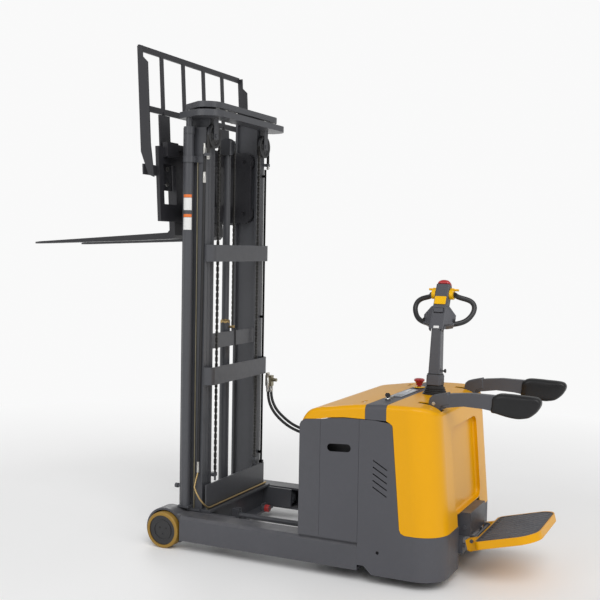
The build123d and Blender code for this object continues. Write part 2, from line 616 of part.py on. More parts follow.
# ------------------------------------------------------------------ mast
def upright(stage, z0, z1):
    """Left upright of one mast stage: a channel open towards the middle."""
    y = OUTER_Y - stage * STAGE_PITCH
    inner = y - FLANGE_W
    outline = [(UPRIGHT_REAR, y), (UPRIGHT_FRONT, y), (UPRIGHT_FRONT, inner),
               (UPRIGHT_FRONT - FLANGE_T, inner), (UPRIGHT_FRONT - FLANGE_T, y - WEB_T),
               (UPRIGHT_REAR + FLANGE_T, y - WEB_T), (UPRIGHT_REAR + FLANGE_T, inner), (UPRIGHT_REAR, inner)]
    return prism_xy(outline, z0, z1)


def u_crossbar(z0, z1):
    """Flat bar bent round behind the mast and welded to both outer uprights."""
    half, rear, t, r = OUTER_Y - 2, -222.0, 8.0, 42.0
    outer = fillet((Pos((rear - 170) / 2, 0, z0) * Rectangle(-170 - rear, 2 * half)).vertices().sort_by(Axis.X)[:2], r)
    inner = Pos((rear + t - 160) / 2, 0, z0) * Rectangle(-160 - rear - t, 2 * (half - t))
    inner = fillet(inner.vertices().sort_by(Axis.X)[:2], r - t)
    return extrude(outer, amount=z1 - z0) - extrude(inner, amount=z1 - z0)


def reach_carriage():
    """Rolling base of the mast: side plates with rollers in the legs, shelf, beam and reach rod."""
    x_rear, x_front, y0, y1 = -400.0, 5.0, OUTER_Y, OUTER_Y + 16
    half = box(x_rear, x_front, y0, y1, MAST_BOTTOM - 4, 198)
    half += box(-238, x_front, y0, y1, 198, 204)
    half += box(UPRIGHT_REAR, x_front, y0, 390, 204, 216)
    half += box(CYLINDER_X - 36, CYLINDER_X + 36, y0, 390, 216, 224)
    half += box(CYLINDER_X - 36, CYLINDER_X + 36, y0, CYLINDER_Y + 26, 224, 236)
    for x in (-190, -345):
        half += rod_y(x, LEG_INNER + 4, LEG_INNER + 46, 132, 57)
        half += rod_y(x, y1, LEG_INNER + 4, 132, 16)
    shelf = box(-238, UPRIGHT_REAR, -y1, y1, 204, 216)
    beam = box(-200, -190, -y0, y0, 216, 358)
    low_plate = box(-275, -190, -y0, y0, 66, 78)
    low_wall = box(-200, -190, -y0, y0, 78, 204)
    y = REACH_Y
    eye = box(-318, -275, y - 22, y - 9, 66, 190) + box(-318, -275, y + 9, y + 22, 66, 190)
    eye += box(-275, -200, y - 22, y + 22, 78, 120)
    rod = rod_x(-940, -302, y, REACH_Z, REACH_ROD_R) + rod_y(-298, y - 22, y + 22, REACH_Z, 14)
    bumper = rod_x(-292, -275, 240, 92, 22) + rod_x(-312, -292, 240, 92, 17)
    bumper_plate = box(-275, -262, 214, 266, 66, 122)
    base = shelf + beam + low_plate + low_wall + eye + rod
    for piece in (half, bumper_plate):
        base += [piece, mirrored(piece)]
    return group(base, bumper, mirrored(bumper))


def outer_uprights():
    """Outer stage: two channels and their two rear crossbars."""
    left = upright(0, MAST_BOTTOM, OUTER_TOP)
    lug = box(SHEAVE_X - 9, UPRIGHT_REAR, OUTER_Y - 6, OUTER_Y + 22, 2272, 2290)
    strap = box(-165, CYLINDER_X, OUTER_Y, OUTER_Y + 8, 2236, 2272)
    strap += box(CYLINDER_X - 40, CYLINDER_X + 40, OUTER_Y, CYLINDER_Y, 2236, 2272)
    strap += rod_z(CYLINDER_X, CYLINDER_Y, 2236, 2272, CYLINDER_R + 7)
    strap -= rod_z(CYLINDER_X, CYLINDER_Y, 2230, 2280, CYLINDER_R)
    frame = left + mirrored(left) + u_crossbar(945, 1049) + u_crossbar(1666, 1764)
    return frame + [lug, mirrored(lug), strap, mirrored(strap)]


def lift_cylinders():
    """Two lift cylinder barrels standing outside the mast."""
    barrel = rod_z(CYLINDER_X, CYLINDER_Y, 236, 2432, CYLINDER_R)
    gland = rod_z(CYLINDER_X, CYLINDER_Y, 2400, 2440, CYLINDER_R + 3)
    port = rod_x(CYLINDER_X + 20, CYLINDER_X + 62, CYLINDER_Y, 346, 9)
    knob = rod_x(CYLINDER_X + 48, CYLINDER_X + 66, CYLINDER_Y, 346, 14)
    cylinder = barrel + gland + port + knob - rod_z(CYLINDER_X, CYLINDER_Y, 2300, 2450, 19)
    return group(cylinder, mirrored(cylinder))


def mast_hydraulics():
    """Valve manifold, pipe along the base, riser on the left and the long hose on the right."""
    block = box(-258, -214, -372, -338, 862, 930) + box(-228, -216, -372, -340, 930, 945)
    block += rod_x(-288, -258, -355, 902, 11)
    pipe = rod_y(-206, -366, 366, 222, 6)
    riser = rod_z(-118, OUTER_Y + 5, 216, 490, 5) + rod_z(-118, OUTER_Y + 5, 490, 2236, 4)
    hose = rod_z(-192, -338, 372, 2250, 7)
    foot = box(-204, -182, -348, -328, 358, 376)
    for z in (420, 1300, 2200):
        hose += box(-192, UPRIGHT_REAR, -346, -334, z, z + 16)
    return group(block, pipe, riser, hose + foot)


def top_plate(half_rear, half_front, rear, front, cut_half, z0, z1, r):
    """Rear-overhanging mast head plate, open at the front for the next stage."""
    waist = rear + 1.1 * r
    points = [(front, half_front), (front, -half_front), (waist, -half_rear), (rear, -half_rear),
              (rear, half_rear), (waist, half_rear)]
    face = make_face(Polyline([(x, y, z0) for x, y in points], close=True))
    rear_corners = face.vertices().filter_by(lambda v: abs(v.X - rear) < 1)
    plate = extrude(fillet(rear_corners, r), amount=z1 - z0)
    return plate - box(UPRIGHT_REAR - 8, front + 5, -cut_half, cut_half, z0 - 1, z1 + 1)


def sheave_bracket():
    """Left sheave's two cheeks and axle, hung from the middle stage's head plate."""
    y0, y1, z0 = SHEAVE_Y - 24, SHEAVE_Y + 24, SHEAVE_Z - 20
    cheeks = box(SHEAVE_X - 17, SHEAVE_X - 12, y0, y1, z0, MIDDLE_TOP)
    cheeks += box(SHEAVE_X + 12, SHEAVE_X + 17, y0, y1, z0, MIDDLE_TOP)
    return cheeks + rod_x(SHEAVE_X - 22, SHEAVE_X + 19, SHEAVE_Y, SHEAVE_Z, 12)


def chain_wrap(side):
    """Leaf chain lying over one sheave."""
    wrap = rod_x(SHEAVE_X - 6, SHEAVE_X + 6, side * SHEAVE_Y, SHEAVE_Z, SHEAVE_R + 4)
    wrap -= rod_x(SHEAVE_X - 7, SHEAVE_X + 7, side * SHEAVE_Y, SHEAVE_Z, SHEAVE_R - 4)
    return wrap & box(-300, -100, -500, 500, SHEAVE_Z, SHEAVE_Z + 100)


def middle_mast():
    """Middle stage: channels, head plate, sheave brackets, lift rams and the chains' top bends."""
    left = upright(1, MAST_BOTTOM + 8, MIDDLE_TOP)
    plate = top_plate(476, 388, -290, -4, OUTER_Y - 2 * STAGE_PITCH + 1.5, MIDDLE_TOP, MIDDLE_TOP + 36, 105)
    half = OUTER_Y - STAGE_PITCH
    frame = left + mirrored(left) + plate + box(UPRIGHT_REAR - 10, UPRIGHT_REAR, -half, half, 96, 190)
    ram = rod_z(CYLINDER_X, CYLINDER_Y, 2306, MIDDLE_TOP, 19 - RUN_GAP)
    bolts = rod_z(-60, 400, MIDDLE_TOP + 36, MIDDLE_TOP + 46, 9)
    bolts += rod_z(-100, 400, MIDDLE_TOP + 36, MIDDLE_TOP + 46, 9)
    for piece in (sheave_bracket(), ram, bolts):
        frame += [piece, mirrored(piece)]
    return group(frame, chain_wrap(1), chain_wrap(-1))


def chain_sheave():
    """Left grooved chain wheel, axis along X."""
    rim = rod_x(SHEAVE_X - 11, SHEAVE_X + 11, SHEAVE_Y, SHEAVE_Z, SHEAVE_R + 9)
    groove = rod_x(SHEAVE_X - 7.5, SHEAVE_X + 7.5, SHEAVE_Y, SHEAVE_Z, SHEAVE_R + 20)
    groove -= rod_x(SHEAVE_X - 7.5, SHEAVE_X + 7.5, SHEAVE_Y, SHEAVE_Z, SHEAVE_R - 5)
    return rim - groove - rod_x(SHEAVE_X - 20, SHEAVE_X + 20, SHEAVE_Y, SHEAVE_Z, 12 + RUN_GAP)


def inner_mast():
    """Inner stage: channels, head plate, ties, chain lugs and the free-lift barrel."""
    z0 = MAST_BOTTOM + 16
    left = upright(2, z0, INNER_TOP)
    inner_edge = OUTER_Y - 2 * STAGE_PITCH - FLANGE_W
    plate = top_plate(430, 330, -258, -8, inner_edge - 2, INNER_TOP, INNER_TOP + 34, 95)
    web = OUTER_Y - 2 * STAGE_PITCH - WEB_T
    foot = box(UPRIGHT_REAR + 10, UPRIGHT_REAR + 18, -web, web, z0 + 10, 200)
    tie = box(UPRIGHT_REAR + 2, UPRIGHT_REAR + 12, -web, web, 1150, 1240)
    seat = box(FREE_LIFT_X - 60, FREE_LIFT_X + 40, -60, 60, 188, 200)
    barrel = rod_z(FREE_LIFT_X, 0, 200, 1290, 30) - rod_z(FREE_LIFT_X, 0, 250, 1300, 22.5)
    saddle = box(UPRIGHT_REAR + 12, FREE_LIFT_X, -32, 32, 1190, 1225)
    saddle -= rod_z(FREE_LIFT_X, 0, 1180, 1240, 29)
    lug = box(SHEAVE_X - 9, UPRIGHT_REAR + 4, inner_edge - 20, inner_edge + 16, 392, 412)
    stud = rod_z(SHEAVE_X, SHEAVE_Y - SHEAVE_R, 364, 392, 6)
    anchor = box(UPRIGHT_REAR + 3, UPRIGHT_REAR + 18, -8, 8, 1240, 1262)
    frame = left + mirrored(left) + plate + foot + tie + seat + barrel + saddle + anchor
    return frame + [lug, mirrored(lug), stud, mirrored(stud)]


def free_lift_rod():
    """Free-lift rod with its crosshead and chain wheel."""
    rod = rod_z(FREE_LIFT_X, 0, 1100, 2310, 22.5 - RUN_GAP)
    head = box(FREE_LIFT_X - 40, FREE_LIFT_X + 40, -34, 34, 2310, 2400)
    head = fillet(head.edges().filter_by(Axis.Z), 8)
    head -= rod_y(FREE_LIFT_X, -10, 10, FREE_WHEEL_Z, 62)
    wheel = rod_y(FREE_LIFT_X, -10, 10, FREE_WHEEL_Z, 47)
    rim = rod_y(FREE_LIFT_X, -10, -7, FREE_WHEEL_Z, 58) + rod_y(FREE_LIFT_X, 7, 10, FREE_WHEEL_Z, 58)
    wrap = rod_y(FREE_LIFT_X, -6, 6, FREE_WHEEL_Z, 55) - rod_y(FREE_LIFT_X, -7, 7, FREE_WHEEL_Z, 47)
    wrap &= box(-200, 0, -20, 20, FREE_WHEEL_Z, FREE_WHEEL_Z + 90)
    return rod + head + wheel + rim + wrap


def side_chain_runs():
    """Moving runs of the two mast chains, from the inner stage's lugs up to the sheaves."""
    y = SHEAVE_Y - SHEAVE_R
    run = box(SHEAVE_X - 6, SHEAVE_X + 6, y - 4, y + 4, 412, SHEAVE_Z)
    return group(run, mirrored(run))


def fixed_chain_runs():
    """Fixed runs of the two mast chains, from the outer stage's lugs up to the sheaves."""
    y = SHEAVE_Y + SHEAVE_R
    run = box(SHEAVE_X - 6, SHEAVE_X + 6, y - 4, y + 4, 2290, SHEAVE_Z)
    return group(run, mirrored(run))


def free_lift_chain():
    """Free-lift chain: rear run down to the inner stage, front run down to the carriage."""
    rear = box(FREE_LIFT_X - 55, FREE_LIFT_X - 47, -6, 6, 1262, FREE_WHEEL_Z)
    front = box(FREE_LIFT_X + 47, FREE_LIFT_X + 55, -6, 6, CHAIN_END_Z, FREE_WHEEL_Z)
    return group(rear, front)


def lift_carriage():
    """Carriage: two roller plates riding in the inner stage, cross members and hinge lugs."""
    inner_edge = OUTER_Y - 2 * STAGE_PITCH - FLANGE_W
    y0, y1 = inner_edge - 24, inner_edge - 8
    side = box(-140, 14, y0, y1, CARRIAGE_BOTTOM, CARRIAGE_TOP)
    side = fillet(side.edges().filter_by(Axis.Y).sort_by(Axis.X)[:2], 40)
    for z in (CARRIAGE_BOTTOM + 60, CARRIAGE_TOP - 60):
        side += rod_y(-93, y1, inner_edge + 19, z, 56)
        side -= rod_y(-93, y0 - 1, y0 + 8, z, 14)
    side += box(0, TILT_X + 18, 150, 170, TILT_Z - 22, TILT_Z + 22)
    side += rod_y(TILT_X, 140, 206, TILT_Z, 12)
    bars = box(0, 14, -y0, y0, CARRIAGE_BOTTOM, CARRIAGE_BOTTOM + 110)
    bars += box(0, 14, -y0, y0, CARRIAGE_TOP - 100, CARRIAGE_TOP)
    bars += box(FREE_LIFT_X + 44, 0, -10, 10, CHAIN_END_Z - 14, CHAIN_END_Z)
    bars += rod_x(-60, 14, 62, TILT_RAM_Z, 28)
    bars -= rod_x(-48, 20, 62, TILT_RAM_Z, 20)
    return side + mirrored(side) + bars


def on_fork_frame(shape):
    """Tips a piece built upright about the tilt hinge to its resting angle."""
    return Pos(TILT_X, 0, TILT_Z) * Rot(0, TILT_REST, 0) * shape


FRAME_BACK, FRAME_FACE = 24.0, 46.0      # fork frame thickness range, ahead of the hinge
FRAME_LOW, FRAME_HIGH = -62.0, 372.0     # fork frame height range about the hinge


def fork_frame():
    """Tilting fork frame: thick plate with windows, hinge ears and tilt ram."""
    plate = box(FRAME_BACK, FRAME_FACE, -466, 466, FRAME_LOW, FRAME_HIGH)
    for y in (-1, 1):
        plate -= box(0, 80, y * 40, y * 200, FRAME_LOW + 100, FRAME_HIGH - 100)
        plate -= box(0, 80, y * 290, y * 420, FRAME_LOW + 100, FRAME_HIGH - 100)
    for y in (-192, 174):
        plate += box(-20, FRAME_BACK, y, y + 18, -20, 20)
    plate -= rod_y(0, -220, 220, 0, 12 + RUN_GAP)
    cover = box(-8, FRAME_BACK, 300, 420, FRAME_HIGH - 60, FRAME_HIGH + 26)
    frame = on_fork_frame(plate + cover)
    return frame + rod_x(-20, TILT_X + 48, 62, TILT_RAM_Z, 8)


def load_backrest():
    """Bolted load backrest: top rail, middle rail, four bars and two side plates."""
    top = BACKREST_TOP - TILT_Z
    mid = 2542.0 - TILT_Z
    front = 62.0
    rail = box(front - 12, front, -BACKREST_HALF + 6, BACKREST_HALF - 6, top - 34, top)
    rail += box(front - 12, front, -BACKREST_HALF + 6, BACKREST_HALF - 6, mid - 17, mid + 17)
    for y in (-354, -118, 118, 354):
        rail += box(front - 12, front, y - 14, y + 14, mid, top)
    wing = [(front, top - 8), (front, 330), (front - 46, 196), (front - 82, 180), (front - 66, 372),
            (front - 66, top - 104), (front - 34, top - 70), (front - 34, top - 8)]
    for side in (-1, 1):
        y = side * BACKREST_HALF
        rail += prism_xz(wing, min(y, y - side * 8), max(y, y - side * 8))
        plate = box(FRAME_FACE, FRAME_FACE + 9, side * 300, side * 410, 120, 560)
        plate += box(FRAME_FACE, front, side * 346, side * 362, 372, mid)
        rail += plate
        rail += box(FRAME_FACE, FRAME_FACE + 9, side * 404, y, 200, 260)
        for z in (150, 240, 340):
            rail += rod_x(FRAME_FACE + 9, FRAME_FACE + 18, side * 392, z, 10)
    return on_fork_frame(rail)


def fork(side):
    """L-shaped fork arm hooked over the frame, with a tapered blade."""
    heel = 1838.0 - TILT_Z
    back = FRAME_FACE + 0.5
    front = back + FORK_T
    tip = front + FORK_LENGTH
    outline = [(back, heel - FORK_T + 20), (back, FRAME_HIGH + 22), (front, FRAME_HIGH + 22), (front, heel + 14),
               (front + 14, heel), (tip, heel - 14), (tip, heel - 25), (front + 240, heel - FORK_T), (back + 20, heel - FORK_T)]
    arm = prism_xz(outline, -FORK_W / 2, FORK_W / 2)
    arm -= prism_xy([(tip - 60, FORK_W / 2 + 1), (tip + 1, FORK_W / 2 + 1), (tip + 1, 22)], -300, 0)
    arm -= prism_xy([(tip - 60, -FORK_W / 2 - 1), (tip + 1, -FORK_W / 2 - 1), (tip + 1, -22)], -300, 0)
    hook = prism_xz([(FRAME_BACK - 0.5, FRAME_HIGH + 0.5), (back, FRAME_HIGH + 0.5), (back, FRAME_HIGH + 22),
                     (FRAME_BACK - 14, FRAME_HIGH + 22), (FRAME_BACK - 14, FRAME_HIGH - 12),
                     (FRAME_BACK - 0.5, FRAME_HIGH - 12)], -38, 38)
    return on_fork_frame(Pos(0, side * FORK_Y, 0) * (arm + hook))


# ------------------------------------------------------------------ reach cylinder and hoses
def reach_cylinder():
    """Reach cylinder barrel under the chassis; its bore takes the mast's rod."""
    barrel = rod_x(-1506, BODY_FRONT - 2, REACH_Y, REACH_Z, REACH_BARREL_R)
    return barrel - rod_x(-1496, BODY_FRONT, REACH_Y, REACH_Z, REACH_ROD_R + RUN_GAP)


HOSE_R = 9.0
HOSE_ROUTES = [
    [(-226, -355, 862), (-226, -355, 800), (-246, -348, 738), (-286, -336, 690), (-344, -318, 650),
     (-416, -294, 618), (-498, -266, 600), (-590, -236, 592), (-680, -212, 592), (-772, -192, 594), (-860, -180, 596)],
    [(-248, -355, 861.5), (-249, -355, 806), (-268, -348, 752), (-306, -334, 708), (-362, -316, 672),
     (-434, -288, 640), (-516, -260, 622), (-606, -230, 614), (-694, -206, 612), (-780, -186, 614), (-860, -170, 618)],
]


def hose(points):
    """Hydraulic hose: straight runs joined by arcs as large as the runs allow."""
    radii = []
    for a, b, c in zip(points, points[1:], points[2:]):
        u, v = Vector(b) - Vector(a), Vector(c) - Vector(b)
        turn = u.get_angle(v)
        radii.append(0.45 * min(u.length, v.length) / tan(radians(max(turn, 0.5) / 2)))
    path = FilletPolyline(*points, radius=radii)
    tube = sweep(Plane(path @ 0, z_dir=path % 0) * Circle(HOSE_R), path)
    ratio = tube.volume / (path.length * pi * HOSE_R ** 2)
    print("hose length", round(path.length), "volume ratio", round(ratio, 4), "radii", [round(r) for r in radii])
    return tube


# ------------------------------------------------------------------ write every node
def main():
    os.makedirs("parts", exist_ok=True)
    skin = cover_skin()
    for name, shape in {"straddle_leg": straddle_leg(), "load_hub": load_hub(), "load_tyre": load_tyre(),
                        "battery_door": battery_door(), "rear_shell": rear_shell(),
                        "castor_fork": castor_fork(), "castor_wheel": castor_wheel(),
                        "side_arm": side_arm(), "arm_pad": arm_pad(), "chain_sheave": chain_sheave()}.items():
        save(f"{name}_left", shape)
        save(f"{name}_right", mirrored(shape))
    for side, name in ((1, "left"), (-1, "right")):
        save(f"fork_{name}", fork(side))
    for number, route in enumerate(HOSE_ROUTES, start=1):
        save(f"reach_hose_{number}", hose(route))
    save("rear_hood", rear_hood(skin))
    save("dash_strip", dash_strip(skin))
    save("battery_lid", battery_lid(skin))
    for make in (chassis_frame, battery_pack, drive_bay_units, drive_unit, drive_wheel,
                 steer_turret, tiller_boot, tiller_column, tiller_head, handle_loops, throttle_paddles,
                 belly_button, lift_rocker, estop_button, ignition_key, arm_brackets, platform_bracket,
                 platform_frame, platform_mat, reach_carriage, outer_uprights, lift_cylinders, mast_hydraulics,
                 middle_mast, inner_mast, free_lift_rod, side_chain_runs, fixed_chain_runs, free_lift_chain,
                 lift_carriage, fork_frame, load_backrest, reach_cylinder):
        save(make.__name__, make())


if __name__ == "__main__":
    main()
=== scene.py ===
"""Stand-on reach stacker: the visual model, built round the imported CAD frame."""
import json
import math

import bmesh
import bpy
from mathutils import Matrix, Vector


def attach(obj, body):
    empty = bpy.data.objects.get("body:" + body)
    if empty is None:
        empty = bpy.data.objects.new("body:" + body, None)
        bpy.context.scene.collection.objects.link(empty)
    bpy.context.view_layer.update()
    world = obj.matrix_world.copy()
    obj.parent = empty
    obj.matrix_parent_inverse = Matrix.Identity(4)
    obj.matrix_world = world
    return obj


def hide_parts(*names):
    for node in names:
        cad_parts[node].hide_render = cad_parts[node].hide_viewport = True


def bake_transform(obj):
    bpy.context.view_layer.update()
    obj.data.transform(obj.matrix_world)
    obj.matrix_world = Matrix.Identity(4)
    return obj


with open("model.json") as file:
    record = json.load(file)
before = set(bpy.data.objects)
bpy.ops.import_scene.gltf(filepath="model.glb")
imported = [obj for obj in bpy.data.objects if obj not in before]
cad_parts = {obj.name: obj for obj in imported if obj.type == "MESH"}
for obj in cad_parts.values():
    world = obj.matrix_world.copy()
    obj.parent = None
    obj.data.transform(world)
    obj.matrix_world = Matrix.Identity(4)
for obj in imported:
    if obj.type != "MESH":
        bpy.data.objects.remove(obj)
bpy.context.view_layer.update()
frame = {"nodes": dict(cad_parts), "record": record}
scene = bpy.context.scene

# Shapes are drawn in millimetres from the load wheel axle, as in the CAD, and then moved into the row frame.
AXLE_X = 0.47758
ROW = Matrix.Translation((AXLE_X, 0, 0)) @ Matrix.Scale(0.001, 4)
SIDES = {"left": 1, "right": -1}
TILLER_X, ARM_X, ARM_Z = -1458, -1567, 912
ARM_Y = 340                          # middle of each side arm
STOP_X, STOP_Y = -1300, -200
KEY_Y = 330
SHEAVE_X, SHEAVE_Y, SHEAVE_Z = -191, 312, 2392
SHEAVE_R = 62                        # to the middle of the chain
MAST_LUG_Z, ANCHOR_Z = 412, 2290      # lower ends of the moving and the fixed chain runs
FREE_LIFT_X, FREE_WHEEL_Z, FREE_WHEEL_R = -104, 2358, 51
CHAIN_FOOT_Z, CHAIN_END_Z = 1262, 2010
CYLINDER_X, CYLINDER_Y = -77, 397
RISER_X, RISER_TOP_X, RISER_Y = -146, -165, 371
FEED_X = -171.4                      # free-lift feed hose, inside the head plates' opening


def at(x, y, z):
    """Row-frame point for load-axle millimetres."""
    return ROW @ Vector((x, y, z))


# ------------------------------------------------------------------ camera and light
def add_camera():
    """Camera at the photograph's viewing angle."""
    place = (-2.6129, 5.2325, 1.75)
    yaw, pitch, roll = (math.radians(a) for a in (-64.6626, -3.0132, 0.9894))
    ahead = Vector((math.cos(pitch) * math.cos(yaw), math.cos(pitch) * math.sin(yaw), math.sin(pitch)))
    right = ahead.cross(Vector((0, 0, 1))).normalized()
    up = right.cross(ahead)
    right, up = (math.cos(roll) * right + math.sin(roll) * up, math.cos(roll) * up - math.sin(roll) * right)
    data = bpy.data.cameras.new("camera")
    data.lens = 58.49
    data.clip_end = 200
    camera = bpy.data.objects.new("camera", data)
    scene.collection.objects.link(camera)
    turn = Matrix((right, up, -ahead)).transposed().to_4x4()
    camera.matrix_world = Matrix.Translation(place) @ turn
    scene.camera = camera


def add_light(name, kind, place, target, energy, size):
    """Sun or square softbox aimed at a target. A sun's size is its angle in degrees."""
    data = bpy.data.lights.new(name, kind)
    data.energy = energy
    if kind == "SUN":
        data.angle = math.radians(size)
    else:
        data.size = size
    light = bpy.data.objects.new(name, data)
    scene.collection.objects.link(light)
    aim = Vector(target) - Vector(place)
    light.matrix_world = Matrix.Translation(place) @ aim.to_track_quat("-Z", "Y").to_matrix().to_4x4()


def add_studio():
    """White surround and soft lights."""
    world = bpy.data.worlds.new("studio")
    scene.world = world
    world.use_nodes = True
    tree = world.node_tree
    back = tree.nodes["Background"]
    back.inputs["Color"].default_value = (1, 1, 1, 1)
    path = tree.nodes.new("ShaderNodeLightPath")
    level = tree.nodes.new("ShaderNodeMapRange")
    level.inputs["To Min"].default_value = 0.5
    level.inputs["To Max"].default_value = 0.95
    tree.links.new(path.outputs["Is Camera Ray"], level.inputs["Value"])
    tree.links.new(level.outputs["Result"], back.inputs["Strength"])
    middle = (0, 0, 1)
    add_light("key", "SUN", (-3.5, 5.0, 7.5), middle, 1.3, 40)
    add_light("softbox_left", "AREA", (1.5, 6.5, 4.2), middle, 60, 3.2)
    add_light("softbox_rear", "AREA", (-6.5, 1.8, 3.6), middle, 45, 3.0)
    add_light("softbox_far", "AREA", (4.5, -5.5, 4.0), middle, 60, 3.0)
    scene.view_settings.view_transform = "Standard"


# ------------------------------------------------------------------ materials
class Graph:
    """Small helper for building a node material."""

    def __init__(self, name):
        self.mat = bpy.data.materials.new(name)
        self.mat.use_nodes = True
        self.tree = self.mat.node_tree
        self.tree.nodes.clear()
        self.coord = self.node("ShaderNodeTexCoord").outputs["Object"]

    def node(self, kind, inputs=None, **props):
        made = self.tree.nodes.new(kind)
        for key, value in props.items():
            setattr(made, key, value)
        for key, value in (inputs or {}).items():
            if isinstance(value, bpy.types.NodeSocket):
                self.tree.links.new(value, made.inputs[key])
            else:
                made.inputs[key].default_value = value
        return made

    def noise(self, scale, detail=3.0, rough=0.55):
        inputs = {"Vector": self.coord, "Scale": scale, "Detail": detail, "Roughness": rough}
        return self.node("ShaderNodeTexNoise", inputs).outputs["Fac"]

    def span(self, value, low, high, out_low=0.0, out_high=1.0):
        inputs = {"Value": value, "From Min": low, "From Max": high, "To Min": out_low, "To Max": out_high}
        return self.node("ShaderNodeMapRange", inputs).outputs["Result"]

    def calc(self, operation, a, b=0.0):
        return self.node("ShaderNodeMath", {0: a, 1: b}, operation=operation).outputs[0]

    def mix(self, factor, a, b):
        made = self.node("ShaderNodeMix", {0: factor}, data_type="RGBA")
        for socket, value in ((made.inputs[6], a), (made.inputs[7], b)):
            if isinstance(value, bpy.types.NodeSocket):
                self.tree.links.new(value, socket)
            else:
                socket.default_value = (*value, 1)
        return made.outputs[2]

    def axes(self):
        return self.node("ShaderNodeSeparateXYZ", {0: self.coord}).outputs


def shade(colour, factor):
    """Colour made lighter or darker."""
    return tuple(min(1.0, c * factor) for c in colour)


def surface(name, colour, rough, metallic=0.0, coat=0.0, mottle=0.08, grain=(420, 0.12), edge=1.6,
            wear=0.0, wear_colour=(0.3, 0.3, 0.3), dust=0.0, zone=None, shine=0.5):
    """Painted, moulded or bare surface with colour drift, fine texture, worn edges and a little dust."""
    g = Graph(name)
    drift = g.span(g.noise(2.6, 4), 0.3, 0.7)
    base = g.mix(drift, shade(colour, 1 - mottle), shade(colour, 1 + mottle))
    fine = g.noise(34, 4, 0.65)
    base = g.mix(g.span(fine, 0.35, 0.75, 0, 0.5), base, shade(colour, 1 - 1.6 * mottle))
    level = g.span(fine, 0.25, 0.75, rough - 0.5 * mottle, rough + 0.6 * mottle)
    if zone:
        base, level = zone(g, base, level)
    rounded = g.node("ShaderNodeNewGeometry").outputs["Normal"]
    if edge:
        rounded = g.node("ShaderNodeBevel", {"Radius": edge / 1000}, samples=4).outputs[0]
    if wear:
        flat = g.node("ShaderNodeNewGeometry").outputs["Normal"]
        dot = g.node("ShaderNodeVectorMath", {0: rounded, 1: flat}, operation="DOT_PRODUCT")
        match = dot.outputs["Value"]
        rim = g.span(match, 0.985, 0.82)
        patchy = g.span(g.noise(46, 5, 0.7), 0.5, 0.66)
        worn = g.calc("MULTIPLY", g.calc("MULTIPLY", rim, patchy), wear)
        base = g.mix(worn, base, wear_colour)
    if dust:
        normal = g.node("ShaderNodeNewGeometry").outputs["Normal"]
        up = g.node("ShaderNodeSeparateXYZ", {0: normal}).outputs[2]
        low = g.span(g.axes()[2], 0.75, 0.0)
        settled = g.calc("MULTIPLY", g.span(up, 0.4, 1.0), low)
        film = g.calc("MULTIPLY", settled, g.span(g.noise(9, 5, 0.7), 0.35, 0.8))
        base = g.mix(g.calc("MULTIPLY", film, dust), base, (0.42, 0.4, 0.37))
    bump = g.node("ShaderNodeBump", {"Height": g.noise(grain[0], 2, 0.5), "Strength": grain[1],
                                     "Distance": 0.0006, "Normal": rounded})
    inputs = {"Base Color": base, "Roughness": level, "Normal": bump.outputs[0], "Metallic": metallic,
              "Coat Weight": coat, "Coat Roughness": 0.08, "Specular IOR Level": shine}
    shader = g.node("ShaderNodeBsdfPrincipled", inputs)
    g.node("ShaderNodeOutputMaterial", {"Surface": shader.outputs[0]})
    return g.mat


YELLOW = (0.76, 0.36, 0.0)
CHARCOAL = (0.064, 0.065, 0.075)


def hydraulic_zone(g, base, level):
    """Plated block and pipes, with the long hose in black rubber."""
    x, y, _ = g.axes()
    hose = g.calc("MULTIPLY", g.calc("GREATER_THAN", x, 0.2725), g.calc("LESS_THAN", y, -0.3))
    return g.mix(hose, base, (0.012, 0.012, 0.013)), level


